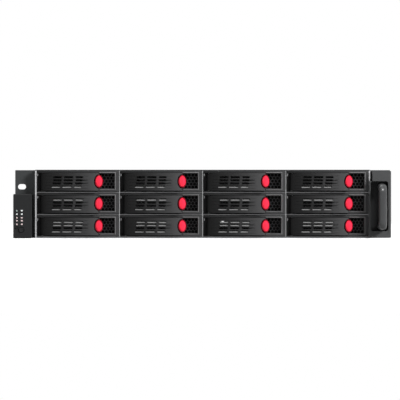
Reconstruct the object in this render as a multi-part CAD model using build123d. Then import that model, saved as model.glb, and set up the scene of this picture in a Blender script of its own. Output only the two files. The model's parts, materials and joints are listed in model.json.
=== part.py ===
from build123d import *
import math
import os

# A 2U rackmount server chassis with twelve front drive bays.
# Millimetres. +X to the right seen from the front, +Y to the rear, +Z up.
# Origin: bottom face, middle of the width, in the plane where the ears rest on the rack.

# Rack and body
body_width = 430.0
body_height = 88.0
body_depth = 650.0
front_reach = 12.0
sheet = 1.0
rim_width = 12.0

# Rack slots: their heights above the bottom face are the standard's hole positions
slot_from_tip = 8.75
left_slot_height = 66.225
right_slot_height = 37.65
slot_length = 10.4
slot_width = 6.8

# Drive cage
columns = 4
rows = 3
cage_sheet = 1.0
cage_floor = 1.2
shelf_sheet = 1.0
cage_depth = 190.0
backplane_thickness = 1.8
connector_width = 44.0
connector_height = 7.0
connector_reach = 6.5
connector_level = -6.7
backplane_window_half = 6.7
backplane_rib = 1.8

# Tray bezel
tray_side_gap = 0.375
tray_height_gap = 0.35
bezel_proud = 2.0
bezel_depth = 16.0
bezel_wall = 1.05
pocket_depth = 8.0
pocket_floor_wall = 2.0
pocket_top_lip = 2.85
pocket_bottom_lip = 0.95
air_window_height = 19.0
air_window_left = 15.5
air_window_right_gap = 1.5
pin_seat_wall = 0.26

# Tray recess with the perforated floor, right of the button
recess_from_right = 5.675
recess_width = 19.0
recess_bottom = -9.4
recess_top = 9.8
recess_depth = 7.0

# Tray sled
sled_length = 172.0
sled_sheet = 1.0
sled_side_gap = 0.675
sled_wall_height = 23.0
sled_lap = 4.0
sled_window_width = 56.0
sled_window_length = 44.0
sled_window_front = 24.0
sled_window_pitch = 66.0
clip_height = 3.4
clip_low = 6.6
clip_ear_reach = 2.7

# Lever
lever_hinge_from_left = 6.9
lever_hinge_behind_bezel = 5.0
hinge_pin_radius = 1.25
hinge_running_gap = 0.06
barrel_radius = 2.6
lever_clearance = 0.3
lever_flat_start = 18.0
lever_flat_start_reach = 1.6
lever_bend_length = 17.9
lever_flat_end_reach = 5.0
lever_end_gap = 0.4
lever_end_reach = 5.2
lever_wall = 1.8
louvre_height = 2.3
louvre_levels = (5.0, 1.0, -3.0, -7.2)
louvre_count = 3
louvre_left = 20.8
louvre_right_gap = 2.3
louvre_bridge = 2.2

# Release button
button_width = 11.0
button_height = 17.0
button_from_recess = 0.9
button_level = -0.4
button_reach = 5.6
button_cap_depth = 5.2
button_travel = 2.5
button_stem_width = 5.6
button_stem_height = 10.6
button_side_gap = 0.3
button_notch_gap = 0.5
boss_wall = 1.0

# Ears
ear_sheet = 2.0
ear_reach = 26.3
ear_height_gap = 0.4
ear_leg_length = 42.0

# Control module on the left ear
module_overhang = 1.2
module_body_gap = 4.0
module_height = 56.8
module_depth = 18.0
module_lift = 0.1
module_wall = 1.8
module_corner = 2.0
power_radius = 3.0
power_inset = 10.3
power_height = 10.9
reset_radius = 1.2
reset_inset = 4.5
reset_height = 13.8
control_travel = 1.5
control_gap = 0.15
control_collar = 0.8
control_stem = 5.0
control_board_thickness = 1.6
control_board_stand = 3.0

# Handle housing and grip on the right ear
housing_lap = 1.6
housing_bottom = 1.0
housing_top_gap = 1.8
housing_depth = 18.0
housing_corner = 2.0
housing_wall_gap = 0.3
recess_from_lap = 1.4
recess_from_tip = 3.9
recess_low = 9.2
recess_from_top = 14.8
recess_floor = 2.0
recess_corner = 3.0
housing_step = 3.9
grip_from_tip = 11.9
grip_width = 10.5
grip_bar = 9.4
grip_low_gap = 1.3
grip_high_gap = 3.3
grip_reach = 34.0
grip_bend = 9.0
grip_chamfer = 2.2

# Fans
fan_count = 3
fan_height_room = 8.0
fan_depth = 38.0
fan_rim = 2.0
fan_side_room = 26.0
fan_corner = 4.0
fan_wall_front = 214.0
fan_motor_radius = 17.0
fan_motor_depth = 4.0
fan_strut_width = 4.0
fan_strut_depth = 3.0
fan_end_gap = 0.3
rotor_tip_gap = 1.0
rotor_hub_radius = 16.0
rotor_blades = 5
rotor_shaft_radius = 1.5
rotor_shaft_gap = 0.05
rotor_blade_depth = 24.0
blade_thickness = 1.2
blade_fill = 0.9
blade_bow = 3.0
blade_pitch = 38.0

# Power supplies
supply_width = 73.5
supply_top_room = 3.8
supply_depth = 185.0
supply_gap = 0.4
supply_lift = 0.3
supply_cage_reach = 196.0
inlet_width = 27.0
inlet_height = 20.0
inlet_depth = 16.0
inlet_corner = 3.0
supply_handle_reach = 24.0
supply_handle_bar = 5.0
supply_handle_width = 8.0
supply_handle_from_side = 14.0
latch_width = 2.4
latch_height = 15.0
latch_reach = 14.0
latch_depth = 20.0
latch_travel = 2.5
latch_gap = 0.4
distribution_board_thickness = 2.0
distribution_board_gap = 0.4

# Rear panel
io_width = 158.75
io_height = 44.45
io_supply_gap = 8.35
io_bottom = 8.0
board_slots = 7
slot_pitch = 20.32
slot_window_width = 13.0
slot_window_bottom = 14.0
slot_window_top_gap = 16.0
first_slot_gap = 11.5
slot_edge_gap = 3.0
slot_cover_width = 18.4
slot_cover_lap = 4.0
slot_cover_sheet = 0.8
vent_count = 14
vent_width = 5.0
vent_point = 1.4
vent_io_gap = 4.05
vent_top_gap = 13.0

# Top cover
cover_split_gap = 0.3
cover_slide = 20.0
hook_length = 18.0
hook_foot = 4.0
hook_count = 3
hook_front_gap = 83.7
hook_rear_gap = 76.0
hook_edge_gap = 0.6
cover_tab_width = 14.0
cover_tab_height = 12.0
cover_tab_left_inset = 65.0
cover_tab_right_inset = 115.0

# Board stand-offs
standoff_radius = 3.0
standoff_bore_radius = 1.6
standoff_height = 6.35
board_overhang = 3.15
board_rear_gap = 8.0
standoff_columns = (0.0, 157.48, 281.94)
standoff_rows = (0.0, 154.94, 227.33)
standoff_edge = 6.35

# Side rail holes
rail_hole_radius = 2.1
rail_hole_level = 44.0
rail_hole_places = (280.0, 425.0)

# Places that follow from the sizes above
front = -front_reach
rear = front + body_depth
half_body = body_width / 2
rack_width = body_width + 2 * ear_reach
rack_slot_x = rack_width / 2 - slot_from_tip
half_inside = half_body - sheet
cover_bottom = body_height - sheet
cage_inside = half_inside - cage_sheet
bay_pitch = (2 * cage_inside + cage_sheet) / columns
bay_width = bay_pitch - cage_sheet
cage_back = front + cage_depth
floor_top = sheet + cage_floor
bay_height = (cover_bottom - floor_top - (rows - 1) * shelf_sheet) / rows
row_pitch = bay_height + shelf_sheet
bezel_front = front - bezel_proud
bezel_back = bezel_front + bezel_depth
bezel_half = bay_height / 2 - tray_height_gap
tray_left = cage_sheet / 2 + tray_side_gap
tray_right = cage_sheet / 2 + bay_width - tray_side_gap
sled_left = cage_sheet / 2 + sled_side_gap
sled_right = cage_sheet / 2 + bay_width - sled_side_gap
sled_back = bezel_front + bezel_depth + sled_length - sled_lap
pocket_floor = bezel_front + pocket_depth
pocket_low = -bezel_half + pocket_bottom_lip
pocket_high = bezel_half - pocket_top_lip
lever_low = pocket_low + lever_clearance
lever_high = pocket_high - lever_clearance
hinge_x = tray_left + lever_hinge_from_left
hinge_y = bezel_front + lever_hinge_behind_bezel
recess_right = tray_right - recess_from_right
recess_left = recess_right - recess_width
button_centre = recess_left - button_from_recess
lever_end = button_centre - lever_end_gap
lever_flat_end = lever_end - lever_bend_length
louvre_room = lever_flat_end - louvre_right_gap - louvre_left
louvre_width = (louvre_room + louvre_bridge) / louvre_count - louvre_bridge
module_left = -rack_width / 2 - module_overhang
module_right = -half_body - module_body_gap
power_place = (module_left + power_inset, power_height)
reset_place = (module_left + reset_inset, reset_height)
housing_left = half_body - housing_lap
housing_top = body_height - housing_top_gap
recess_left_side = housing_left + recess_from_lap
recess_right_side = rack_width / 2 - recess_from_tip
recess_high = body_height - recess_from_top
grip_centre = rack_width / 2 - grip_from_tip
grip_low = recess_low + grip_low_gap
grip_high = recess_high - grip_high_gap
fan_size = body_height - fan_height_room
fan_bore_radius = fan_size / 2 - fan_rim
fan_pitch = (2 * half_inside - fan_side_room) / fan_count
fan_level = 2 * sheet + fan_size / 2
rotor_tip_radius = fan_bore_radius - rotor_tip_gap
fan_front = fan_wall_front + sheet
fan_back = fan_front + fan_depth
motor_front = fan_back - fan_motor_depth
supply_height = (body_height - supply_top_room - 3 * sheet - 4 * supply_lift) / 2
supply_right = half_inside - supply_gap
supply_left = supply_right - supply_width
supply_front = rear - supply_depth
supply_cage_front = rear - sheet - supply_cage_reach
cover_front = cage_back + cover_split_gap
io_left = supply_left - io_supply_gap - io_width
board_right = io_left + io_width + board_overhang
first_slot_centre = io_left - first_slot_gap
slot_room = first_slot_centre + half_inside - slot_cover_width / 2 - slot_edge_gap
slot_count = min(board_slots, int(slot_room / slot_pitch) + 1)
slot_window_height = body_height - slot_window_top_gap - slot_window_bottom
vent_bottom = io_bottom + io_height + vent_io_gap
vent_height = body_height - vent_top_gap - vent_bottom
cover_tab_places = (-half_body + cover_tab_left_inset, half_body - cover_tab_right_inset)


def block(left, right, near, far, low, high):
    """A rectangular solid between its left and right, near and far, low and high sides."""
    corner_box = Box(right - left, far - near, high - low, align=(Align.MIN, Align.MIN, Align.MIN))
    return Pos(left, near, low) * corner_box


def along_y(outline, near, far):
    """Extrudes a front-view outline of (x, z) points from y = near to y = far."""
    face = Plane.XZ.offset(-far) * make_face(Polyline(*outline, close=True))
    return extrude(face, amount=far - near)


def along_x(outline, left, right):
    """Extrudes a side-view outline of (y, z) points from x = left to x = right."""
    face = Plane.YZ.offset(left) * make_face(Polyline(*outline, close=True))
    return extrude(face, amount=right - left)


def along_z(outline, low, high):
    """Extrudes a plan outline of (x, y) points from z = low to z = high."""
    face = Plane.XY.offset(low) * make_face(Polyline(*outline, close=True))
    return extrude(face, amount=high - low)


def front_shape(sketch, x, z, near, far):
    """Extrudes a sketch drawn in the front view, centred at (x, z), from y = near to y = far."""
    face = Plane.XZ.offset(-far) * (Pos(x, z) * sketch)
    return extrude(face, amount=far - near)


def write(name, *solids):
    """Writes one sub-part: all its solids, as one STEP file."""
    export_step(Compound(children=list(solids)), os.path.join("parts", name + ".step"))


def bay_corner(row, column):
    """The move from a bay's own frame (left divider's centre line, row's centre) to the chassis."""
    x = -cage_inside - cage_sheet / 2 + column * bay_pitch
    z = cover_bottom - bay_height / 2 - row * row_pitch
    return Pos(x, 0, z)


# Body

def standoff_places():
    """Where the stand-offs of a full-size board are, seen from above."""
    right = board_right - standoff_edge
    back = rear - sheet - board_rear_gap
    columns_inside = [right - dx for dx in standoff_columns if right - dx > standoff_radius - half_inside]
    return [(x, back - dy) for x in columns_inside for dy in standoff_rows]


def hook_places():
    """Where the cover's hooks start, from front to rear."""
    first = cover_front + hook_front_gap
    last = rear - hook_rear_gap
    return [first + (last - first) / (hook_count - 1) * i for i in range(hook_count)]


def side_wall():
    """The right side wall: a plate with an in-turned rim behind the drive cage, notched for the hooks."""
    inner = half_body - rim_width
    outline = [
        (half_inside, 0),
        (half_body, 0),
        (half_body, cover_bottom),
        (inner, cover_bottom),
        (inner, cover_bottom - sheet),
        (half_inside, cover_bottom - sheet),
    ]
    wall = along_y(outline, front, rear)
    rim_start = cage_back + backplane_thickness + cover_split_gap
    wall -= block(inner, half_inside, front, rim_start, cover_bottom - sheet, cover_bottom)
    notch_depth = hook_foot + 2 * hook_edge_gap
    left = inner - hook_edge_gap
    for place in hook_places():
        near = place + cover_slide - hook_edge_gap
        far = place + cover_slide + hook_length + hook_edge_gap
        wall -= block(left, inner + notch_depth, near, far, cover_bottom - 2 * sheet, cover_bottom)
    drill = Rot(0, 90, 0) * Cylinder(rail_hole_radius, body_width + 2 * sheet)
    for place in rail_hole_places:
        wall -= Pos(0, place, rail_hole_level) * drill
    return wall


def base_pan():
    """The floor with its board stand-offs, and the two side walls welded along its edges."""
    floor = block(-half_inside, half_inside, front, rear, 0, sheet)
    post = extrude(RegularPolygon(standoff_radius, 6), amount=standoff_height)
    bore = Cylinder(standoff_bore_radius, standoff_height, align=(Align.CENTER, Align.CENTER, Align.MIN))
    for x, y in standoff_places():
        floor += Pos(x, y, sheet) * (post - bore)
    wall = side_wall()
    return [floor, mirror(wall, about=Plane.YZ), wall]


def front_cover():
    """The fixed sheet over the drive cage."""
    return block(-half_body, half_body, front, cage_back, cover_bottom, body_height)


def top_cover():
    """The sliding rear cover: its hooks run under the pan's rims, its tabs take the thumbscrews."""
    cover = block(-half_body, half_body, cover_front, rear, cover_bottom, body_height)
    stem_outer = half_body - rim_width - hook_edge_gap
    foot_top = cover_bottom - sheet - hook_edge_gap
    foot_bottom = foot_top - sheet
    hook = [
        (stem_outer, cover_bottom),
        (stem_outer - sheet, cover_bottom),
        (stem_outer - sheet, foot_bottom),
        (stem_outer + hook_foot, foot_bottom),
        (stem_outer + hook_foot, foot_top),
        (stem_outer, foot_top),
    ]
    for place in hook_places():
        right_hook = along_y(hook, place, place + hook_length)
        cover += right_hook
        cover += mirror(right_hook, about=Plane.YZ)
    half = cover_tab_width / 2
    tab_low = body_height - cover_tab_height
    for place in cover_tab_places:
        cover += block(place - half, place + half, rear, rear + sheet, tab_low, body_height)
    return cover


def vent_places():
    """The middles of the vents above the board's opening."""
    step = io_width / vent_count
    return [io_left + step * (i + 0.5) for i in range(vent_count)]


def vent_outline(x):
    """An upright slot with pointed ends, as (x, z) points."""
    half = vent_width / 2
    top = vent_bottom + vent_height
    return [
        (x, vent_bottom),
        (x + half, vent_bottom + vent_point),
        (x + half, top - vent_point),
        (x, top),
        (x - half, top - vent_point),
        (x - half, vent_bottom + vent_point),
    ]


def slot_centres():
    """The middles of the expansion slots, from the board's opening outwards."""
    return [first_slot_centre - slot_pitch * i for i in range(slot_count)]


def rear_panel():
    """The rear wall: supply opening, board opening, slot windows and vents."""
    near = rear - sheet
    bay_edge = supply_left - supply_gap
    outline = [
        (-half_inside, sheet),
        (bay_edge, sheet),
        (bay_edge, supply_opening_top()),
        (half_inside, supply_opening_top()),
        (half_inside, cover_bottom - sheet),
        (-half_inside, cover_bottom - sheet),
    ]
    panel = along_y(outline, near, rear)
    rim = half_body - rim_width
    panel += block(-rim, rim, rear - rim_width, rear, cover_bottom - sheet, cover_bottom)
    panel -= block(io_left, io_left + io_width, near, rear, io_bottom, io_bottom + io_height)
    for x in vent_places():
        panel -= along_y(vent_outline(x), near, rear)
    half = slot_window_width / 2
    for x in slot_centres():
        top = slot_window_bottom + slot_window_height
        panel -= block(x - half, x + half, near, rear, slot_window_bottom, top)
    return panel


def slot_covers():
    """One blank plate behind each slot window."""
    far = rear - sheet
    half = slot_cover_width / 2
    low = slot_window_bottom - slot_cover_lap
    high = slot_window_bottom + slot_window_height + slot_cover_lap
    return [block(x - half, x + half, far - slot_cover_sheet, far, low, high) for x in slot_centres()]


# Drive cage

def drive_cage():
    """Side plates, dividers, floor and shelves, each a flat sheet."""
    plates = [block(-cage_inside, cage_inside, front, cage_back, sheet, floor_top)]
    for side in (-1, 1):
        edges = sorted((side * cage_inside, side * half_inside))
        plates.append(block(edges[0], edges[1], front, cage_back, sheet, cover_bottom))
    for column in range(1, columns):
        middle = -cage_inside - cage_sheet / 2 + column * bay_pitch
        left = middle - cage_sheet / 2
        plates.append(block(left, left + cage_sheet, front, cage_back, floor_top, cover_bottom))
    for column in range(columns):
        left = -cage_inside + column * bay_pitch
        for row in range(1, rows):
            top = cover_bottom - row * row_pitch + shelf_sheet
            plates.append(block(left, left + bay_width, front, cage_back, top - shelf_sheet, top))
    return plates


def circuit_boards():
    """The drive backplane with its connectors, the distribution board and the control board."""
    back = cage_back + backplane_thickness
    board = block(-cage_inside, cage_inside, cage_back, back, floor_top, cover_bottom - tray_height_gap)
    centre = cage_sheet / 2 + bay_width / 2
    gap_half = (bay_pitch - connector_width) / 2 - backplane_rib
    half = backplane_window_half
    for row in range(rows):
        for column in range(columns - 1):
            place = bay_corner(row, column + 1)
            board -= place * block(-gap_half, gap_half, cage_back, back, -half, half)
    solids = [board]
    left = centre - connector_width / 2
    near = cage_back - connector_reach
    low = connector_level
    connector = block(left, left + connector_width, near, cage_back, low, low + connector_height)
    for row in range(rows):
        for column in range(columns):
            solids.append(bay_corner(row, column) * connector)
    far = supply_front - distribution_board_gap
    near = far - distribution_board_thickness
    solids.append(block(supply_left, supply_right, near, far, sheet, supply_cage_top() - sheet))
    far = -ear_sheet - control_board_stand
    near = far - control_board_thickness
    low = module_lift + module_wall
    high = module_height - module_wall
    solids.append(block(module_left + module_wall, module_right - module_wall, near, far, low, high))
    return solids


# Drive trays, in a bay's own frame

def oval(width, height):
    """An oval of that width and height."""
    return Ellipse(width / 2, height / 2)


def tray_bezel():
    """The moulded front of a tray: lever pocket, air window, button boss and perforated recess."""
    bezel = block(tray_left, tray_right, bezel_front, bezel_back, -bezel_half, bezel_half)
    pocket_left = tray_left + bezel_wall
    bezel -= block(pocket_left, recess_left - bezel_wall, bezel_front, pocket_floor, pocket_low, pocket_high)
    recess_back = bezel_front + recess_depth
    bezel -= block(recess_left, recess_right, bezel_front, recess_back, recess_bottom, recess_top)
    behind = pocket_floor + pocket_floor_wall
    inner_low = -bezel_half + 2 * bezel_wall
    inner_right = sled_right - sled_sheet - bezel_wall
    inner_left = sled_left + sled_sheet + bezel_wall
    bezel -= block(inner_left, inner_right, behind, bezel_back, inner_low, bezel_half - 2 * bezel_wall)
    half = air_window_height / 2
    right = lever_flat_end + air_window_right_gap
    middle = (lever_low + lever_high) / 2
    bezel -= block(air_window_left, right, pocket_floor, behind, middle - half, middle + half)
    boss_front = bezel_front - button_reach + button_cap_depth + button_travel + button_side_gap
    clear = oval(button_width + 2 * button_side_gap, button_height + 2 * button_side_gap)
    bezel -= front_shape(clear, button_centre, button_level, bezel_front, boss_front)
    boss = Rectangle(button_stem_width + 2 * boss_wall, button_stem_height + 2 * boss_wall)
    bezel += front_shape(boss, button_centre, button_level, boss_front, behind)
    stem = Rectangle(button_stem_width + 2 * button_side_gap, button_stem_height + 2 * button_side_gap)
    bezel -= front_shape(stem, button_centre, button_level, boss_front, bezel_back)
    for left, side in ((sled_left, -1), (sled_right - sled_sheet, 1)):
        edge = tray_left if side < 0 else sled_right
        far_edge = sled_left + sled_sheet if side < 0 else tray_right
        near = bezel_back - sled_lap
        sled_high = -bezel_half + sled_wall_height
        bezel -= block(min(edge, left), max(far_edge, left), near, bezel_back, -bezel_half, sled_high)
    clip_top = clip_low + clip_height
    clip_right = sled_left + clip_ear_reach
    bezel -= block(tray_left, clip_right, bezel_front, bezel_front + sled_sheet, clip_low, clip_top)
    bezel -= block(tray_left, sled_left + sled_sheet, bezel_front, bezel_back, clip_low, clip_top)
    left = hinge_x - hinge_pin_radius
    right = hinge_x + hinge_pin_radius
    near = hinge_y - hinge_pin_radius
    far = hinge_y + hinge_pin_radius
    bezel -= block(left, right, near, far, -bezel_half + pin_seat_wall, pocket_low)
    bezel -= block(left, right, near, far, pocket_high, bezel_half - bezel_wall)
    return bezel


def tray_sled():
    """The steel sled: a floor plate, and two side rails riveted to it, the left one with a clip."""
    low = -bezel_half
    high = low + sled_wall_height
    near = bezel_back - sled_lap
    inner_left = sled_left + sled_sheet
    inner_right = sled_right - sled_sheet
    floor = block(inner_left, inner_right, bezel_back, sled_back, low, low + sled_sheet)
    middle = (sled_left + sled_right) / 2
    half = sled_window_width / 2
    for i in range(2):
        start = bezel_back + sled_window_front + i * sled_window_pitch
        floor -= block(middle - half, middle + half, start, start + sled_window_length, low, low + sled_sheet)
    clip_top = clip_low + clip_height
    ear_back = bezel_front + sled_sheet
    left_rail = block(sled_left, inner_left, near, sled_back, low, high)
    left_rail += block(sled_left, inner_left, bezel_front, near, clip_low, min(clip_top, high))
    left_rail += block(sled_left, sled_left + clip_ear_reach, bezel_front, ear_back, clip_low, clip_top)
    right_rail = block(inner_right, sled_right, near, sled_back, low, high)
    return [floor, left_rail, right_rail]


def hinge_pin():
    """The upright pin that the lever turns on, held in square seats in the bezel's two lips."""
    low = -bezel_half + pin_seat_wall
    high = bezel_half - bezel_wall
    pin = Cylinder(hinge_pin_radius, high - low, align=(Align.CENTER, Align.CENTER, Align.MIN))
    return Pos(hinge_x, hinge_y, low) * pin


def lever_face(setback):
    """The lever's plan outline, its front drawn as arc, flat and arc, moved back by setback."""
    start = Vector(lever_flat_start, bezel_front - lever_flat_start_reach + setback)
    end = Vector(lever_flat_end, bezel_front - lever_flat_end_reach + setback)
    slope = end - start
    angle = 2 * math.atan2(start.Y - hinge_y + barrel_radius - setback, lever_flat_start - hinge_x)
    lean = abs(angle) + math.atan2(slope.Y, slope.X)
    barrel = Vector(
        hinge_x - barrel_radius * math.sin(lean), hinge_y - barrel_radius * math.cos(lean) + setback
    )
    tip = Vector(lever_end, bezel_front - lever_end_reach + setback)
    flat = Line(start, end)
    left = TangentArc(start, barrel, tangent=start - end)
    right = TangentArc(end, tip, tangent=end - start)
    back = hinge_y + 2 * setback
    close = Polyline(barrel, (hinge_x, back), (lever_end, back), tip)
    return make_face([flat, left, right, close])


def lever():
    """A moulded shell round the hinge barrel, open behind, with louvres and a notch for the button."""
    face = lever_face(0)
    height = lever_high - lever_low
    body = extrude(Plane.XY.offset(lever_low) * face, amount=height)
    notch = oval(button_width + 2 * button_notch_gap, button_height + 2 * button_notch_gap)
    inner_plane = Plane.XY.offset(lever_low + lever_wall)
    hollow = extrude(inner_plane * lever_face(lever_wall), amount=height - 2 * lever_wall)
    hollow_left = hinge_x + barrel_radius + lever_wall
    hollow_right = button_centre - button_width / 2 - button_notch_gap - lever_wall
    reach = bezel_front - button_reach
    hollow &= block(hollow_left, hollow_right, reach, pocket_floor, lever_low, lever_high)
    body -= hollow
    hinge = Pos(hinge_x, hinge_y, lever_low)
    bore_radius = hinge_pin_radius + hinge_running_gap
    body += hinge * Cylinder(barrel_radius, height, align=(Align.CENTER, Align.CENTER, Align.MIN))
    body -= hinge * Cylinder(bore_radius, height, align=(Align.CENTER, Align.CENTER, Align.MIN))
    body -= front_shape(notch, button_centre, button_level, bezel_front - 2 * button_reach, pocket_floor)
    for i in range(louvre_count):
        left = louvre_left + i * (louvre_width + louvre_bridge)
        for level in louvre_levels:
            low = level - louvre_height / 2
            body -= block(left, left + louvre_width, reach, hinge_y, low, low + louvre_height)
    return body


def release_button():
    """The oval red button: its cap stands proud of the lever, its stem slides in the boss."""
    cap_front = bezel_front - button_reach
    cap_back = cap_front + button_cap_depth
    stem_back = bezel_back - button_travel - button_side_gap
    cap = front_shape(oval(button_width, button_height), button_centre, button_level, cap_front, cap_back)
    stem = Rectangle(button_stem_width, button_stem_height)
    return cap + front_shape(stem, button_centre, button_level, cap_back, stem_back)


# Ears, control module and handle

def ear(side, slot_height):
    """A bent steel bracket: the flange with its open slot, and the leg along the side wall."""
    tip = rack_width / 2
    leg_outer = half_body + ear_sheet
    outline = [
        (side * tip, -ear_sheet),
        (side * half_body, -ear_sheet),
        (side * half_body, ear_leg_length),
        (side * leg_outer, ear_leg_length),
        (side * leg_outer, 0),
        (side * tip, 0),
    ]
    bracket = along_z(outline, ear_height_gap, body_height - ear_height_gap)
    slot = SlotOverall(slot_length, slot_width)
    return bracket - front_shape(slot, side * rack_slot_x, slot_height, -ear_sheet, 0)


def control_module():
    """A hollow moulded box on the left ear's flange, open at the back, bored for its two buttons."""
    near = -ear_sheet - module_depth
    outside = block(module_left, module_right, near, -ear_sheet, module_lift, module_height)
    outside = fillet(outside.edges().filter_by(Axis.Z).group_by(Axis.Y)[0], module_corner)
    left = module_left + module_wall
    right = module_right - module_wall
    low = module_lift + module_wall
    high = module_height - module_wall
    inside = block(left, right, near + module_wall, -ear_sheet, low, high)
    shell = outside - inside
    for radius, (x, z) in ((power_radius, power_place), (reset_radius, reset_place)):
        shell -= front_shape(Circle(radius + control_gap), x, z, near, near + module_wall)
    return shell


def control_button(radius, place):
    """A round button with a collar behind the module's wall."""
    x, z = place
    near = -ear_sheet - module_depth
    wall_back = near + module_wall
    button = front_shape(Circle(radius), x, z, near - control_travel, wall_back + control_stem)
    start = wall_back + control_gap
    collar = front_shape(Circle(radius + control_collar), x, z, start, start + control_collar)
    return button + collar


def handle_housing():
    """The moulded frame round the grip: open towards the wall, with a floor on the flange."""
    near = -ear_sheet - housing_depth
    right = rack_width / 2
    body = block(housing_left, right, near, -ear_sheet, housing_bottom, housing_top)
    body = fillet(body.edges().filter_by(Axis.Z).group_by(Axis.X)[-1].group_by(Axis.Y)[0], housing_corner)
    wall_edge = half_body + housing_wall_gap
    body -= block(housing_left, wall_edge, front - housing_wall_gap, -ear_sheet, housing_bottom, housing_top)
    body -= block(housing_left, housing_left + housing_step, near, -ear_sheet, recess_high, housing_top)
    width = recess_right_side - recess_left_side
    tall = recess_high - recess_low
    hollow = RectangleRounded(width, tall, recess_corner)
    centre = (recess_left_side + recess_right_side) / 2
    body -= front_shape(hollow, centre, (recess_low + recess_high) / 2, near, -ear_sheet - recess_floor)
    slot = SlotOverall(slot_length, slot_width)
    body -= front_shape(slot, rack_slot_x, right_slot_height, near, -ear_sheet)
    return body


def handle_grip():
    """A U of moulded bar, its legs standing on the recess floor, its long edges eased."""
    foot = -ear_sheet - recess_floor
    reach = foot - grip_reach
    outer = FilletPolyline(
        (foot, grip_low), (reach, grip_low), (reach, grip_high), (foot, grip_high), radius=grip_bend
    )
    inner_low = grip_low + grip_bar
    inner_high = grip_high - grip_bar
    inner_reach = reach + grip_bar
    inner = FilletPolyline(
        (foot, inner_low), (inner_reach, inner_low), (inner_reach, inner_high), (foot, inner_high),
        radius=grip_bend - grip_bar / 2,
    )
    ends = [Line((foot, grip_low), (foot, inner_low)), Line((foot, grip_high), (foot, inner_high))]
    face = make_face([outer, inner, *ends])
    left = grip_centre - grip_width / 2
    grip = extrude(Plane.YZ.offset(left) * face, amount=grip_width)
    long_edges = grip.edges().filter_by(lambda e: abs(e.tangent_at(0.5).X) < 0.5)
    long_edges = long_edges.filter_by(lambda e: e.center().Y < foot - 0.01)
    return chamfer(long_edges, grip_chamfer)


# Fans

def fan_centres():
    """The middles of the fans across the chassis."""
    return [(i - (fan_count - 1) / 2) * fan_pitch for i in range(fan_count)]


def fan_wall():
    """The bent sheet that holds the fans: a foot on the floor, the wall, and a top return."""
    far = fan_front + fan_depth
    top = cover_bottom - sheet
    outline = [
        (fan_wall_front, sheet),
        (far, sheet),
        (far, 2 * sheet),
        (fan_front, 2 * sheet),
        (fan_front, top - sheet),
        (fan_front + rim_width, top - sheet),
        (fan_front + rim_width, top),
        (fan_wall_front, top),
    ]
    wall = along_x(outline, -half_inside, half_inside)
    for x in fan_centres():
        wall -= front_shape(Circle(fan_bore_radius), x, fan_level, fan_wall_front, fan_front)
    return wall


def fan_frame():
    """One fan's frame: the square duct, and the motor seat carried by four struts."""
    square = chamfer(Rectangle(fan_size, fan_size).vertices(), fan_corner)
    frame = front_shape(square, 0, fan_level, fan_front, fan_back)
    frame -= front_shape(Circle(fan_bore_radius), 0, fan_level, fan_front, fan_back)
    seat = front_shape(Circle(fan_motor_radius), 0, fan_level, motor_front, fan_back)
    reach = fan_bore_radius + (fan_size / 2 - fan_bore_radius) / 2
    for turn in range(4):
        strut = Rectangle(reach, fan_strut_width, align=(Align.MIN, Align.CENTER))
        turned = Rot(0, 0, 45 + 90 * turn) * strut
        seat += front_shape(turned, 0, fan_level, fan_back - fan_strut_depth, fan_back)
    seat -= front_shape(Circle(rotor_shaft_radius + rotor_shaft_gap), 0, fan_level, motor_front, fan_back)
    return frame + seat


def fan_rotor():
    """Hub, shaft and bowed blades, turning in the frame's bore."""
    hub_back = motor_front - fan_end_gap
    hub_front = hub_back - rotor_blade_depth - sheet
    rotor = front_shape(Circle(rotor_hub_radius), 0, 0, hub_front, hub_back)
    rotor += front_shape(Circle(rotor_shaft_radius), 0, 0, hub_back, fan_back - fan_end_gap)
    middle = (hub_front + hub_back) / 2
    chord = rotor_blade_depth / math.sin(math.radians(90 - blade_pitch)) * blade_fill
    half = chord / 2
    upper = ThreePointArc((-half, 0), (0, blade_bow + blade_thickness), (half, 0))
    lower = ThreePointArc((-half, 0), (0, blade_bow), (half, 0))
    section = Rot(0, 0, 90 - blade_pitch) * make_face([upper, lower])
    reach = rotor_tip_radius - rotor_hub_radius / 2
    blade = extrude(Plane.YZ.offset(rotor_hub_radius / 2) * section, amount=reach + blade_thickness)
    ring = front_shape(Circle(rotor_tip_radius), 0, 0, -rotor_blade_depth / 2, rotor_blade_depth / 2)
    blade = Pos(0, middle, 0) * (blade & ring)
    for i in range(rotor_blades):
        rotor += Rot(0, 360 / rotor_blades * i, 0) * blade
    return Pos(0, 0, fan_level) * rotor


# Power supplies

def supply_bottom(index):
    """The underside of the first or second supply above the floor."""
    return sheet + supply_lift + index * (supply_height + 2 * supply_lift + sheet)


def supply_opening_top():
    """The top edge of the rear opening for the supplies."""
    return supply_bottom(1) + supply_height + supply_lift


def supply_cage_top():
    """The top face of the supply cage."""
    return supply_opening_top() + sheet


def supply_cage():
    """The sheet wall, middle shelf and roof that guide the supplies."""
    wall_right = supply_left - supply_gap
    shelf_low = supply_bottom(0) + supply_height + supply_lift
    top = supply_cage_top()
    outline = [
        (wall_right - sheet, sheet),
        (wall_right, sheet),
        (wall_right, shelf_low),
        (half_inside, shelf_low),
        (half_inside, shelf_low + sheet),
        (wall_right, shelf_low + sheet),
        (wall_right, top - sheet),
        (half_inside, top - sheet),
        (half_inside, top),
        (wall_right - sheet, top),
    ]
    cage = along_y(outline, supply_cage_front, rear - sheet)
    cage -= block(wall_right, half_inside, supply_cage_front, supply_front, shelf_low, shelf_low + sheet)
    return cage


def latch_centre():
    """How far the latch stands from the supply's left side."""
    return supply_left + latch_gap + latch_travel + sheet + latch_width / 2


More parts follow.
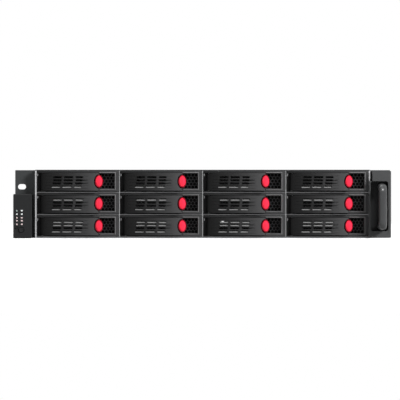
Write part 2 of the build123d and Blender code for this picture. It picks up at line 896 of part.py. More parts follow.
def power_supply(index):
    """A pluggable supply: sheet case, mains inlet, pull handle and a slot for its latch."""
    low = supply_bottom(index)
    high = low + supply_height
    case = block(supply_left, supply_right, supply_front, rear, low, high)
    middle = low + supply_height / 2
    inlet_x = supply_right - inlet_width / 2 - inlet_corner
    socket = RectangleRounded(inlet_width, inlet_height, inlet_corner)
    case -= front_shape(socket, inlet_x, middle, rear - inlet_depth, rear)
    near = rear - latch_depth
    left = latch_centre() - latch_width / 2 - latch_travel - latch_gap
    right = latch_centre() + latch_width / 2 + latch_gap
    half = latch_height / 2 + latch_gap
    case -= block(left, right, near, rear, middle - half, middle + half)
    bar = supply_handle_bar
    handle_left = supply_left + supply_handle_from_side
    handle_right = inlet_x - inlet_width / 2 - inlet_corner
    outer = FilletPolyline(
        (handle_left, rear), (handle_left, rear + supply_handle_reach),
        (handle_right, rear + supply_handle_reach), (handle_right, rear), radius=bar,
    )
    inner = FilletPolyline(
        (handle_left + bar, rear), (handle_left + bar, rear + supply_handle_reach - bar),
        (handle_right - bar, rear + supply_handle_reach - bar), (handle_right - bar, rear), radius=bar / 2,
    )
    ends = [
        Line((handle_left, rear), (handle_left + bar, rear)),
        Line((handle_right, rear), (handle_right - bar, rear)),
    ]
    loop = make_face([outer, inner, *ends])
    base = middle - supply_handle_width / 2
    return case + extrude(Plane.XY.offset(base) * loop, amount=supply_handle_width)


def supply_latch(index):
    """The spring latch beside the handle: a thumb tab on an arm inside the case."""
    middle = supply_bottom(index) + supply_height / 2
    x = latch_centre()
    half = latch_width / 2
    near = rear - latch_depth + latch_gap
    far = rear + latch_reach
    outline = [
        (x - half, near),
        (x + half, near),
        (x + half, far),
        (x - 2 * half, far),
        (x - half, far - latch_width),
    ]
    return along_z(outline, middle - latch_height / 2, middle + latch_height / 2)


os.makedirs("parts", exist_ok=True)

write("base_pan", *base_pan())
write("front_cover", front_cover())
write("top_cover", top_cover())
write("rear_panel", rear_panel())
write("slot_covers", *slot_covers())
write("drive_cage", *drive_cage())
write("circuit_boards", *circuit_boards())

tray_solids = [tray_bezel(), *tray_sled(), hinge_pin()]
lever_solid = lever()
button_solid = release_button()
for row in range(rows):
    for column in range(columns):
        place = bay_corner(row, column)
        label = f"r{row + 1}c{column + 1}"
        write(f"tray_{label}", *[place * solid for solid in tray_solids])
        write(f"lever_{label}", place * lever_solid)
        write(f"button_{label}", place * button_solid)

write("left_ear", ear(-1, left_slot_height))
write("control_module", control_module())
write("power_button", control_button(power_radius, power_place))
write("reset_button", control_button(reset_radius, reset_place))
write("right_ear", ear(1, right_slot_height))
write("handle_housing", handle_housing())
write("handle_grip", handle_grip())

write("fan_wall", fan_wall())
frame_solid = fan_frame()
rotor_solid = fan_rotor()
write("fan_frames", *[Pos(x, 0, 0) * frame_solid for x in fan_centres()])
for number, x in enumerate(fan_centres(), start=1):
    write(f"fan_rotor_{number}", Pos(x, 0, 0) * rotor_solid)

write("supply_cage", supply_cage())
for index in range(2):
    write(f"power_supply_{index + 1}", power_supply(index))
    write(f"supply_latch_{index + 1}", supply_latch(index))
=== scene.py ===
# %% [markdown]
# # A rackmount server chassis
# The imported model holds the sizes, and this script dresses it: every visible piece gets edges,
# fasteners and a finish. The first cell loads the frame and a way to measure the scene's bounds.

# %% Load the frame
import bmesh
import bpy
import json
import math
from mathutils import Matrix, Vector


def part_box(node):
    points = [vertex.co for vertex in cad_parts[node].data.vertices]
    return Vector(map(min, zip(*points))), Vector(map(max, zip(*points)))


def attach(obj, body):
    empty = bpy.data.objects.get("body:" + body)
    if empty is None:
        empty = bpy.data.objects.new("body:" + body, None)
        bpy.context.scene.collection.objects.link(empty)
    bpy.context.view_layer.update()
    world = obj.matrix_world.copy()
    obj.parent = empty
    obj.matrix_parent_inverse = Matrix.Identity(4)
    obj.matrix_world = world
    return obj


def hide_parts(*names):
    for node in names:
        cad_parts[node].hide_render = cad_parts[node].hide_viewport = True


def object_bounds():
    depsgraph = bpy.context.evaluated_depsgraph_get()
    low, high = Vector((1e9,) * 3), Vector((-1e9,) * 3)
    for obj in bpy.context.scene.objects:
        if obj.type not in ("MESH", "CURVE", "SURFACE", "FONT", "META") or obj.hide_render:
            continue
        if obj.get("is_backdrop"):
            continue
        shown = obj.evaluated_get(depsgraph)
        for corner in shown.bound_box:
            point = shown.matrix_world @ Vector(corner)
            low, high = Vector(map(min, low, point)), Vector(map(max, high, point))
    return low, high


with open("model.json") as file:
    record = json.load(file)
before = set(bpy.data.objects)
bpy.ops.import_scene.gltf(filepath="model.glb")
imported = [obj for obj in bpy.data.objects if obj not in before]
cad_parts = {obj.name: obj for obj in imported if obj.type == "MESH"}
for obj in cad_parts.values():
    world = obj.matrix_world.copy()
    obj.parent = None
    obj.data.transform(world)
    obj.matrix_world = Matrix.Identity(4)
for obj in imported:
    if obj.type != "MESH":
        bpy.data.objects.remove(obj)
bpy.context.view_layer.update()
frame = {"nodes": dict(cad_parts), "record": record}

# %% [markdown]
# Lengths below are written in millimetres, as on a drawing, and one factor turns them into metres.
# The trays are all alike, so the places on a tray are measured in its bay: x from the middle of the
# divider on its left, z from the middle of its height, and y as in the whole chassis.

# %% Sizes taken from the frame
mm = 0.001
ROWS = (1, 2, 3)
COLUMNS = (1, 2, 3, 4)
TRAY_INSET = 0.875
THIN = 0.0005


def mm_box(node):
    """A node's lowest and highest corner in millimetres."""
    low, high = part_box(node)
    return low / mm, high / mm


def bay_place(label):
    """Where a bay's own frame sits in the chassis."""
    low, high = mm_box(f"tray_{label}")
    return Vector((low.x - TRAY_INSET, 0, (low.z + high.z) / 2))


LABELS = [f"r{row}c{column}" for row in ROWS for column in COLUMNS]
BAYS = {label: bay_place(label) for label in LABELS}
tray_low, tray_high = mm_box("tray_r1c1")
BEZEL_FRONT = tray_low.y
BEZEL_HALF = (tray_high.z - tray_low.z) / 2
TRAY_LEFT = TRAY_INSET
TRAY_RIGHT = TRAY_INSET + tray_high.x - tray_low.x
SLED_BACK = tray_high.y
cover_low, cover_high = mm_box("front_cover")
WALL = round(cover_high.x, 2)
FRONT = round(cover_low.y, 2)
REAR = round(mm_box("base_pan")[1].y, 2)
COVER_LOW, COVER_HIGH = round(cover_low.z, 2), round(cover_high.z, 2)
COVER_JOIN = round(cover_high.y, 2)
COVER_SPLIT = round(mm_box("top_cover")[0].y, 2)
print("side walls at", WALL, "front", FRONT, "rear", REAR)
print("bezel front", round(BEZEL_FRONT, 2), "half height", round(BEZEL_HALF, 2))

# %% [markdown]
# ## Camera and light
# The reference view is straight on, from about three metres, a little above half height. A long
# lens keeps the sides out of sight. The floor and the air are white only to the camera, so the
# object isn't washed out by extra light. The glint lamp lights the grip alone: it gives the
# highlight on its bend, and would burn the covers out in a view from behind.

# %% Camera
IMAGE_PIXELS = 400
PIXEL_MM = 1.283
SENSOR_MM = 36.0
CAMERA_DISTANCE = 3000.0
VIEW_CENTRE = Vector((-3.4, -12.0, 49.15))

camera_data = bpy.data.cameras.new("view_camera")
camera_data.sensor_width = SENSOR_MM
camera_data.lens = SENSOR_MM * CAMERA_DISTANCE / (IMAGE_PIXELS * PIXEL_MM)
camera_data.clip_end = 50
camera = bpy.data.objects.new("view_camera", camera_data)
camera.location = (VIEW_CENTRE - Vector((0, CAMERA_DISTANCE, 0))) * mm
camera.rotation_euler = (math.radians(90), 0, 0)
bpy.context.collection.objects.link(camera)
bpy.context.scene.camera = camera
bpy.context.scene.view_settings.view_transform = "Standard"
print("lens", round(camera_data.lens, 1), "mm")


# %% World and lamps
def lamp(name, place, aim, size, watts, mirrored=True, lit=True, only=None):
    """A square soft box; mirrored if gloss shows it, lit if dull faces do, only for one collection."""
    data = bpy.data.lights.new(name, "AREA")
    data.size = size
    data.energy = watts
    thing = bpy.data.objects.new(name, data)
    thing.location = place
    thing.rotation_euler = (Vector(aim) - Vector(place)).to_track_quat("-Z", "Y").to_euler()
    thing.visible_glossy = mirrored
    thing.visible_diffuse = lit
    if only:
        thing.light_linking.receiver_collection = only
    bpy.context.collection.objects.link(thing)


def white_to_eye(tree, plain, white):
    """Mixes two shader outputs: rays from the eye, by mirror or through glass see the white one."""
    path = tree.nodes.new("ShaderNodeLightPath")
    seen = tree.nodes.new("ShaderNodeMath")
    seen.operation = "MAXIMUM"
    tree.links.new(path.outputs["Is Camera Ray"], seen.inputs[0])
    tree.links.new(path.outputs["Is Glossy Ray"], seen.inputs[1])
    through = tree.nodes.new("ShaderNodeMath")
    through.operation = "MAXIMUM"
    tree.links.new(seen.outputs["Value"], through.inputs[0])
    tree.links.new(path.outputs["Is Transmission Ray"], through.inputs[1])
    mix = tree.nodes.new("ShaderNodeMixShader")
    tree.links.new(through.outputs["Value"], mix.inputs["Fac"])
    tree.links.new(plain, mix.inputs[1])
    tree.links.new(white, mix.inputs[2])
    return mix.outputs["Shader"]


def studio_air(strength):
    """A world that lights softly and looks white."""
    world = bpy.data.worlds.new("studio_air")
    bpy.context.scene.world = world
    world.use_nodes = True
    tree = world.node_tree
    tree.nodes.clear()
    shades = []
    for level in (strength, 1.0):
        shade = tree.nodes.new("ShaderNodeBackground")
        shade.inputs["Color"].default_value = (1, 1, 1, 1)
        shade.inputs["Strength"].default_value = level
        shades.append(shade.outputs["Background"])
    out = tree.nodes.new("ShaderNodeOutputWorld")
    tree.links.new(white_to_eye(tree, *shades), out.inputs["Surface"])


studio_air(0.12)
glint_pieces = bpy.data.collections.new("glint_pieces")
lamp("key_lamp", (2.0, -1.45, 1.5), (0, 0, 0.05), 0.8, 150, mirrored=False)
lamp("fill_lamp", (-1.9, -2.4, 1.0), (0, 0, 0.05), 1.2, 14)
lamp("top_lamp", (-0.4, 0.6, 2.6), (0, 0.3, 0), 1.6, 26)
lamp("glint_lamp", (0.3, -1.9, 1.7), (0.23, -0.03, 0.07), 0.25, 60, lit=False, only=glint_pieces)
lamp("left_lamp", (-2.6, 0.8, 1.1), (0, 0.3, 0), 1.2, 50, mirrored=False)
lamp("rear_lamp", (0.9, 3.0, 1.5), (0, 0.6, 0), 1.2, 60, mirrored=False)

# %% [markdown]
# ## Finishes
# Four effects are shared by many finishes, so each is a node group with its own sockets: a fine
# grain for mouldings and powder paint, the same grain darkened by a painted shade stored on the
# piece, the crystals of galvanised sheet, and a little dust on what faces up. A group gives out
# plain values, and the shader itself stays in each material.


# %% Shared effects
def group_tree(name, inputs, outputs):
    """A shader group with float inputs (name, default) and float outputs."""
    tree = bpy.data.node_groups.new(name, "ShaderNodeTree")
    for label, value in inputs:
        socket = tree.interface.new_socket(label, in_out="INPUT", socket_type="NodeSocketFloat")
        socket.default_value = value
    for label in outputs:
        tree.interface.new_socket(label, in_out="OUTPUT", socket_type="NodeSocketFloat")
    return tree, tree.nodes.new("NodeGroupInput"), tree.nodes.new("NodeGroupOutput")


def math_node(tree, operation, first, second):
    """A Math node; each side is a socket or a number. Returns its output."""
    node = tree.nodes.new("ShaderNodeMath")
    node.operation = operation
    for i, side in enumerate((first, second)):
        if isinstance(side, (int, float)):
            node.inputs[i].default_value = side
        else:
            tree.links.new(side, node.inputs[i])
    return node.outputs["Value"]


def object_place(tree):
    """The point's place on the object, which doesn't slide with the camera."""
    return tree.nodes.new("ShaderNodeTexCoord").outputs["Object"]


def grain_group():
    """Fine noise: a tone about 1 and a height."""
    tree, given, out = group_tree("fine_grain", [("Scale", 900.0), ("Depth", 0.3)], ["Tone", "Height"])
    noise = tree.nodes.new("ShaderNodeTexNoise")
    noise.inputs["Detail"].default_value = 3.0
    tree.links.new(object_place(tree), noise.inputs["Vector"])
    tree.links.new(given.outputs["Scale"], noise.inputs["Scale"])
    swing = math_node(tree, "SUBTRACT", noise.outputs["Fac"], 0.5)
    tone = math_node(tree, "MULTIPLY", swing, given.outputs["Depth"])
    tree.links.new(math_node(tree, "ADD", tone, 1.0), out.inputs["Tone"])
    tree.links.new(noise.outputs["Fac"], out.inputs["Height"])
    return tree


def spangle_group():
    """Zinc crystals: each cell has its own tone, crossed by faint rolling lines."""
    tree, given, out = group_tree("zinc_spangle", [("Scale", 90.0), ("Depth", 0.2)], ["Tone", "Height"])
    place = object_place(tree)
    cells = tree.nodes.new("ShaderNodeTexVoronoi")
    tree.links.new(place, cells.inputs["Vector"])
    tree.links.new(given.outputs["Scale"], cells.inputs["Scale"])
    shade = tree.nodes.new("ShaderNodeSeparateColor")
    tree.links.new(cells.outputs["Color"], shade.inputs["Color"])
    stretch = tree.nodes.new("ShaderNodeMapping")
    stretch.inputs["Scale"].default_value = (1.0, 0.02, 1.0)
    tree.links.new(place, stretch.inputs["Vector"])
    lines = tree.nodes.new("ShaderNodeTexNoise")
    lines.inputs["Scale"].default_value = 700.0
    tree.links.new(stretch.outputs["Vector"], lines.inputs["Vector"])
    both = math_node(tree, "ADD", shade.outputs["Red"], lines.outputs["Fac"])
    swing = math_node(tree, "SUBTRACT", both, 1.0)
    tone = math_node(tree, "MULTIPLY", swing, given.outputs["Depth"])
    tree.links.new(math_node(tree, "ADD", tone, 1.0), out.inputs["Tone"])
    tree.links.new(lines.outputs["Fac"], out.inputs["Height"])
    return tree


def dust_group():
    """How much dust lies on a point: more on faces that look up, in soft patches."""
    tree, given, out = group_tree("settled_dust", [("Amount", 0.1), ("Patch Scale", 14.0)], ["Mask"])
    facing = tree.nodes.new("ShaderNodeNewGeometry")
    axes = tree.nodes.new("ShaderNodeSeparateXYZ")
    tree.links.new(facing.outputs["Normal"], axes.inputs["Vector"])
    up = math_node(tree, "MAXIMUM", axes.outputs["Z"], 0.0)
    patches = tree.nodes.new("ShaderNodeTexNoise")
    tree.links.new(object_place(tree), patches.inputs["Vector"])
    tree.links.new(given.outputs["Patch Scale"], patches.inputs["Scale"])
    cover = math_node(tree, "MULTIPLY", up, patches.outputs["Fac"])
    tree.links.new(math_node(tree, "MULTIPLY", cover, given.outputs["Amount"]), out.inputs["Mask"])
    return tree


def shaded_grain_group():
    """Moulded plastic with painted shade: the grain's tone is scaled by a stored shade level, darker where
    it is low.
    """
    tree, given, out = group_tree("rubbed_grain", [("Scale", 900.0), ("Depth", 0.3)], ["Tone", "Height"])
    grain = tree.nodes.new("ShaderNodeGroup")
    grain.node_tree = GRAIN
    tree.links.new(given.outputs["Scale"], grain.inputs["Scale"])
    tree.links.new(given.outputs["Depth"], grain.inputs["Depth"])
    stored = tree.nodes.new("ShaderNodeAttribute")
    stored.attribute_name = "painted_shade"
    tone = math_node(tree, "MULTIPLY", grain.outputs["Tone"], stored.outputs["Fac"])
    tree.links.new(tone, out.inputs["Tone"])
    tree.links.new(grain.outputs["Height"], out.inputs["Height"])
    return tree


GRAIN = grain_group()
SHADED_GRAIN = shaded_grain_group()
SPANGLE = spangle_group()
DUST = dust_group()
print("effect groups", [group.name for group in (GRAIN, SHADED_GRAIN, SPANGLE, DUST)])

# %% [markdown]
# One function builds each finish: a base colour that the grain varies, a roughness that follows
# the same grain, a bump at the grain's own scale, and dust mixed over the colour.

# %% Finish builder
DUST_COLOUR = (0.32, 0.31, 0.29, 1)


def finish(
    name, colour, roughness, metallic=0.0, effect=None, scale=900.0, depth=0.3, bump=0.02,
    dust=0.1, gloss=0.5,
):
    """A procedural material. bump is the height of the grain in millimetres."""
    material = bpy.data.materials.new(name)
    material.use_nodes = True
    tree = material.node_tree
    shader = tree.nodes["Principled BSDF"]
    shader.inputs["Metallic"].default_value = metallic
    shader.inputs["Specular IOR Level"].default_value = gloss
    grain = tree.nodes.new("ShaderNodeGroup")
    grain.node_tree = effect or GRAIN
    grain.inputs["Scale"].default_value = scale
    grain.inputs["Depth"].default_value = depth
    tint = tree.nodes.new("ShaderNodeVectorMath")
    tint.operation = "SCALE"
    tint.inputs["Vector"].default_value = colour
    tree.links.new(grain.outputs["Tone"], tint.inputs["Scale"])
    dirt = tree.nodes.new("ShaderNodeGroup")
    dirt.node_tree = DUST
    dirt.inputs["Amount"].default_value = dust
    cover = tree.nodes.new("ShaderNodeMix")
    cover.data_type = "RGBA"
    tree.links.new(dirt.outputs["Mask"], cover.inputs["Factor"])
    tree.links.new(tint.outputs["Vector"], cover.inputs["A"])
    cover.inputs["B"].default_value = DUST_COLOUR
    tree.links.new(cover.outputs["Result"], shader.inputs["Base Color"])
    if effect is SHADED_GRAIN:
        shader.inputs["Roughness"].default_value = roughness
    else:
        dull = math_node(tree, "MULTIPLY", grain.outputs["Tone"], roughness)
        tree.links.new(dull, shader.inputs["Roughness"])
    relief = tree.nodes.new("ShaderNodeBump")
    relief.inputs["Distance"].default_value = bump * mm
    tree.links.new(grain.outputs["Height"], relief.inputs["Height"])
    tree.links.new(relief.outputs["Normal"], shader.inputs["Normal"])
    return material


# %% The finishes
# Colours are linear. Roughness, metallic and dust are shares of 1, and bump is in millimetres.
def zinc(name, colour, roughness, metallic, scale, depth, dust, bump=0.004):
    """Galvanised sheet: scale sets the size of its crystals, depth their contrast."""
    return finish(name, colour, roughness, metallic, SPANGLE, scale, depth, bump, dust)


def moulding(name, colour, roughness, scale, depth, bump, dust, gloss, effect=GRAIN):
    """A plastic, paint or print: scale and depth are its grain's, gloss its specular level."""
    return finish(name, colour, roughness, 0.0, effect, scale, depth, bump, dust, gloss)


ZINC = zinc("zinc_sheet", (0.33, 0.337, 0.347), 0.4, 0.7, 130, 0.16, 0.12)
SLED_ZINC = zinc("sled_zinc", (0.42, 0.425, 0.43), 0.42, 1.0, 90, 0.22, 0.08)
CAGE_ZINC = zinc("cage_zinc", (0.46, 0.465, 0.47), 0.45, 1.0, 90, 0.25, 0.1)
EDGE_ZINC = zinc("cut_edge_zinc", (0.5, 0.5, 0.51), 0.45, 0.8, 90, 0.1, 0.02)
# Darker zinc for the shelves: painted shade.
SHELF_SHADE_ZINC = zinc("dull_shelf_zinc", (0.2, 0.2, 0.205), 0.5, 1.0, 90, 0.3, 0.1)
BLACK_PAINT = moulding("black_powder_paint", (0.03, 0.03, 0.032), 0.5, 1500, 0.4, 0.03, 0.05, 0.2)
TRAY_PLASTIC = moulding("tray_moulding", (0.044, 0.044, 0.045), 0.45, 2600, 0.4, 0.02, 0.02, 0.12)
# The bezel, lever and red button finishes take the grain scaled by a painted shade stored on each piece.
BEZEL_PLASTIC = moulding("bezel_moulding", (0.044, 0.044, 0.045), 0.45, 2600, 0.4, 0.02, 0.02, 0.1, SHADED_GRAIN)
# The bead is the tray's own moulding; its lighter colour is a painted highlight.
BEAD_HIGHLIGHT_PLASTIC = moulding("bead_moulding", (0.13, 0.13, 0.132), 0.4, 2600, 0.3, 0.01, 0.02, 0.3)
CLIP_ZINC = zinc("clip_zinc", (0.16, 0.16, 0.165), 0.5, 0.8, 90, 0.2, 0.05)
LEVER_PLASTIC = moulding("lever_moulding", (0.05, 0.05, 0.051), 0.45, 2600, 0.4, 0.02, 0.02, 0.1, SHADED_GRAIN)
# The module's own dark moulding, also laid in the handle recess as painted shade.
MODULE_PLASTIC_AND_SHADE = moulding("module_moulding", (0.016, 0.0165, 0.017), 0.5, 2200, 0.3, 0.02, 0.03, 0.12)
EAR_PLASTIC = moulding("handle_moulding", (0.052, 0.053, 0.054), 0.42, 2200, 0.4, 0.02, 0.03, 0.12)
EAR_PAINT = moulding("ear_powder_paint", (0.04, 0.042, 0.043), 0.5, 1500, 0.5, 0.03, 0.04, 0.15)
# Near black: the inlet's and connectors' own colour, and painted shade on the wall behind the tray recess.
BLACK_AND_PAINTED_SHADE = moulding("deep_recess_black", (0.006, 0.006, 0.006), 0.7, 1500, 0.3, 0.02, 0.0, 0.03)
GRILLE_GREY = moulding("grille_paint", (0.032, 0.032, 0.034), 0.5, 1800, 0.2, 0.01, 0.0, 0.2)
RED_PLASTIC = moulding("red_moulding", (1.0, 0.028, 0.065), 0.4, 1800, 0.1, 0.006, 0.0, 0.2, SHADED_GRAIN)
GREY_PLASTIC = moulding("grey_moulding", (0.11, 0.115, 0.12), 0.4, 2000, 0.3, 0.01, 0.02, 0.3)
BOARD_GREEN = moulding("board_lacquer", (0.01, 0.09, 0.035), 0.3, 300, 0.6, 0.01, 0.05, 0.5)
FAN_PLASTIC = moulding("fan_moulding", (0.02, 0.02, 0.021), 0.35, 1500, 0.3, 0.01, 0.08, 0.3)
SUPPLY_STEEL = zinc("supply_sheet", (0.36, 0.37, 0.38), 0.36, 0.75, 170, 0.14, 0.08, bump=0.003)
LATCH_GREEN = moulding("latch_moulding", (0.02, 0.24, 0.09), 0.4, 1800, 0.2, 0.01, 0.02, 0.3)
NICKEL = finish("nickel_screw", (0.46, 0.455, 0.445), 0.28, 0.9, GRAIN, 1200, 0.2, 0.004, 0.03)
MARK_WHITE = moulding("mark_print", (0.75, 0.78, 0.78), 0.6, 2000, 0.1, 0.0, 0.0, 0.2)
MARK_TEAL = moulding("teal_mark_print", (0.3, 0.36, 0.34), 0.6, 2000, 0.1, 0.0, 0.0, 0.2)
GRIP_PLASTIC = moulding("grip_moulding", (0.034, 0.035, 0.036), 0.3, 2200, 0.3, 0.01, 0.02, 0.3)
MARK_PINK = moulding("pink_mark_print", (0.66, 0.53, 0.53), 0.6, 2000, 0.1, 0.0, 0.0, 0.2)
NODE_FINISH = {
    "zinc_steel": ZINC,
    "black_paint": BLACK_PAINT,
    "tray_plastic": TRAY_PLASTIC,
    "ear_plastic": EAR_PLASTIC,
    "red_plastic": RED_PLASTIC,
    "grey_button": GREY_PLASTIC,
    "board_green": BOARD_GREEN,
    "fan_plastic": FAN_PLASTIC,
    "supply_steel": SUPPLY_STEEL,
    "latch_green": LATCH_GREEN,
}
print(len(bpy.data.materials), "materials")

# %% [markdown]
# ## Tools for sheets and mouldings
# Nearly everything here is bent sheet or a thin moulding, and real sheet has slightly broken edges
# that catch the light. A filled 2D curve makes that directly: outlines for the edge and the holes,
# an extrusion for the thickness, and a small bevel that is pulled inwards by the same offset.


# %% Sheet from outlines
def rounded(left, right, low, high, radius, steps=3):
    """A rectangle's outline with round corners."""
    points = []
    corners = (
        (right - radius, high - radius, 0),
        (left + radius, high - radius, 90),
        (left + radius, low + radius, 180),
        (right - radius, low + radius, 270),
    )
    for x, y, start in corners:
        for i in range(steps + 1):
            angle = math.radians(start + 90 * i / steps)
            points.append((x + radius * math.cos(angle), y + radius * math.sin(angle)))
    return points


def about(x, z, half_width, half_height):
    """Left, right, low and high of a rectangle about its middle."""
    return x - half_width, x + half_width, z - half_height, z + half_height


def square(left, right, low, high):
    """A rectangle's outline."""
    return [(left, low), (right, low), (right, high), (left, high)]


def oval(x, y, width, height, count=32, start=0.0, turn=360.0):
    """An ellipse's outline, or the part of it from the start angle through turn degrees."""
    whole = abs(turn) >= 360
    steps = count if whole else count + 1
    angles = [math.radians(start + turn * i / count) for i in range(steps)]
    return [(x + width / 2 * math.cos(a), y + height / 2 * math.sin(a)) for a in angles]


def sheet(outlines, thickness, edge):
    """A sheet in the XY plane, half its thickness each side, with eased edges, as a bmesh."""
    curve = bpy.data.curves.new("sheet", "CURVE")
    curve.dimensions = "2D"
    curve.fill_mode = "BOTH"
    curve.extrude = thickness / 2 - edge
    curve.bevel_depth = edge
    curve.bevel_resolution = 0
    curve.offset = -edge
    for points in outlines:
        spline = curve.splines.new("POLY")
        spline.points.add(len(points) - 1)
        for point, (x, y) in zip(spline.points, points):
            point.co = (x, y, 0, 1)
        spline.use_cyclic_u = True
    holder = bpy.data.objects.new("sheet", curve)
    mesh = bpy.data.meshes.new_from_object(holder)
    bm = bmesh.new()
    bm.from_mesh(mesh)
    bpy.data.objects.remove(holder)
    bpy.data.curves.remove(curve)
    bpy.data.meshes.remove(mesh)
    bmesh.ops.remove_doubles(bm, verts=bm.verts, dist=THIN)
    bmesh.ops.recalc_face_normals(bm, faces=bm.faces)
    return bm


def axes(first, second, third):
    """The turn that lays the sheet's x, y and z along three axes of the chassis."""
    return Matrix((first, second, third)).transposed().to_4x4()


ACROSS, BACK, UP = Vector((1, 0, 0)), Vector((0, 1, 0)), Vector((0, 0, 1))


def laid(bm, turn, place):
    """Turns a bmesh and moves it to its place."""
    bmesh.ops.transform(bm, matrix=Matrix.Translation(place) @ turn, verts=bm.verts)
    return bm


def front_sheet(outlines, near, far, edge=0.2):
    """A sheet drawn in the front view as (x, z), from y = near to y = far."""
    return laid(sheet(outlines, far - near, edge), axes(ACROSS, UP, -BACK), (near + far) / 2 * BACK)


def plan_sheet(outlines, low, high, edge=0.2):
    """A sheet drawn from above as (x, y), from z = low to z = high."""
    return laid(sheet(outlines, high - low, edge), axes(ACROSS, BACK, UP), (low + high) / 2 * UP)


def side_sheet(outlines, left, right, edge=0.2):
    """A sheet drawn from the right as (y, z), from x = left to x = right."""
    return laid(sheet(outlines, right - left, edge), axes(BACK, UP, ACROSS), (left + right) / 2 * ACROSS)


# %% [markdown]
# The other forms are lofts: rings of points joined one after another. A dome, a turned screw head
# and a bar bent round a path are all lofts, so one function serves them.


# %% Lofts and joining
def lofted(rings, closed=False):
    """Joins rings of equal count, closing the ends with a face unless the loft is a loop."""
    bm = bmesh.new()
    loops = [[bm.verts.new(point) for point in ring] for ring in rings]
    pairs = list(zip(loops, loops[1:]))
    if closed:
        pairs.append((loops[-1], loops[0]))
    count = len(loops[0])
    for first, second in pairs:
        for i in range(count):
            bm.faces.new((first[i], first[(i + 1) % count], second[(i + 1) % count], second[i]))
    if not closed:
        bm.faces.new(loops[0])
        bm.faces.new(loops[-1])
    bmesh.ops.recalc_face_normals(bm, faces=bm.faces)
    return bm


def turned(profile, place, axis, count=16):
    """A turned piece: (distance along the axis, radius) pairs about an axis through place."""
    side = axis.orthogonal().normalized()
    other = axis.cross(side)
    rings = []
    for along, radius in profile:
        angles = [2 * math.pi * i / count for i in range(count)]
        centre = place + axis * along
        rings.append([centre + radius * (side * math.cos(a) + other * math.sin(a)) for a in angles])
    return lofted(rings)


def gathered(*parts):
    """One bmesh from several; the parts are used up."""
    whole = bmesh.new()
    for part in parts:
        mesh = bpy.data.meshes.new("part")
        part.to_mesh(mesh)
        part.free()
        whole.from_mesh(mesh)
        bpy.data.meshes.remove(mesh)
    return whole


def piece(name, bm, material, body, replaces=None, slot=None, offset=None, smooth=32, painted_shade=None):
    """Puts a bmesh in millimetres into the scene: in metres, shaded, riding on its body."""
    # An optional function gives each point a level of painted shade, stored for the shaded grain.
    levels = [painted_shade(vert.co) for vert in bm.verts] if painted_shade else []
    if offset is not None:
        bm = bm.copy()
        bmesh.ops.translate(bm, verts=bm.verts, vec=offset)
    bmesh.ops.scale(bm, vec=(mm, mm, mm), verts=bm.verts)
    mesh = bpy.data.meshes.new(name)
    bm.to_mesh(mesh)
    bm.free()
    if painted_shade:
        mesh.attributes.new("painted_shade", "FLOAT", "POINT").data.foreach_set("value", levels)
    mesh.materials.clear()
    mesh.materials.append(material)
    mesh.shade_smooth()
    mesh.set_sharp_from_angle(angle=math.radians(smooth))
    thing = bpy.data.objects.new(name, mesh)
    bpy.context.collection.objects.link(thing)
    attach(thing, body)
    if replaces:
        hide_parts(replaces)
    return thing


# %% [markdown]
# ## Geometry Nodes for what repeats
# Perforated plate, ribs and screws are all one small form many times over. Each has a node tree
# with named inputs, and the result is turned into a plain mesh before it joins a body.


# %% Tree helpers
def nodes_tree(name, inputs):
    """A Geometry Nodes tree with a Geometry input, named inputs and a Geometry output."""
    tree = bpy.data.node_groups.new(name, "GeometryNodeTree")
    tree.interface.new_socket("Geometry", in_out="INPUT", socket_type="NodeSocketGeometry")
    for label, kind in inputs:
        tree.interface.new_socket(label, in_out="INPUT", socket_type=kind)
    tree.interface.new_socket("Geometry", in_out="OUTPUT", socket_type="NodeSocketGeometry")
    return tree, tree.nodes.new("NodeGroupInput").outputs, tree.nodes.new("NodeGroupOutput").inputs


def tree_node(tree, kind, links, **settings):
    """Adds a node, sets its properties and feeds its inputs with sockets or values."""
    node = tree.nodes.new(kind)
    for key, value in settings.items():
        setattr(node, key, value)
    for key, value in links.items():
        if isinstance(value, bpy.types.NodeSocket):
            tree.links.new(value, node.inputs[key])
        else:
            node.inputs[key].default_value = value
    return node


def real_copies(tree, links):
    """Copies of a form on points, turned from instances into real geometry."""
    copies = tree_node(tree, "GeometryNodeInstanceOnPoints", links)
    real = tree_node(tree, "GeometryNodeRealizeInstances", {"Geometry": copies.outputs["Instances"]})
    return real.outputs["Geometry"]


def ended(tree, geometry, given, out):
    """Ends a tree: the geometry gets the given material and goes out."""
    dressed = tree_node(
        tree, "GeometryNodeSetMaterial", {"Geometry": geometry, "Material": given["Material"]}
    )
    tree.links.new(dressed.outputs["Geometry"], out["Geometry"])
    return tree


def grown(tree, host, **values):
    """Runs a tree on a host mesh and returns the result as a bmesh; the host is removed."""
    thing = bpy.data.objects.new("host", host)
    bpy.context.collection.objects.link(thing)
    modifier = thing.modifiers.new("grow", "NODES")
    modifier.node_group = tree
    for item in tree.interface.items_tree:
        key = item.name.replace(" ", "_").lower()
        if item.item_type == "SOCKET" and item.in_out == "INPUT" and key in values:
            modifier[item.identifier] = values[key]
    bpy.context.view_layer.update()
    depsgraph = bpy.context.evaluated_depsgraph_get()
    mesh = bpy.data.meshes.new_from_object(thing.evaluated_get(depsgraph))
    thing.modifiers.remove(modifier)
    bm = bmesh.new()
    bm.from_mesh(mesh)
    bpy.data.objects.remove(thing)
    bpy.data.meshes.remove(mesh)
    return bm


def empty_host():
    """A mesh with nothing in it, for trees that make everything themselves."""
    return bpy.data.meshes.new("empty_host")


# %% [markdown]
# ### Perforated plate
# Cutting hundreds of holes with booleans is slow and leaves poor faces. A plate of holes in
# staggered rows is the same six-sided ring again and again, edge to edge, so the tree makes one
# ring, sets it on a grid whose odd rows are shifted by half a pitch, and joins them.


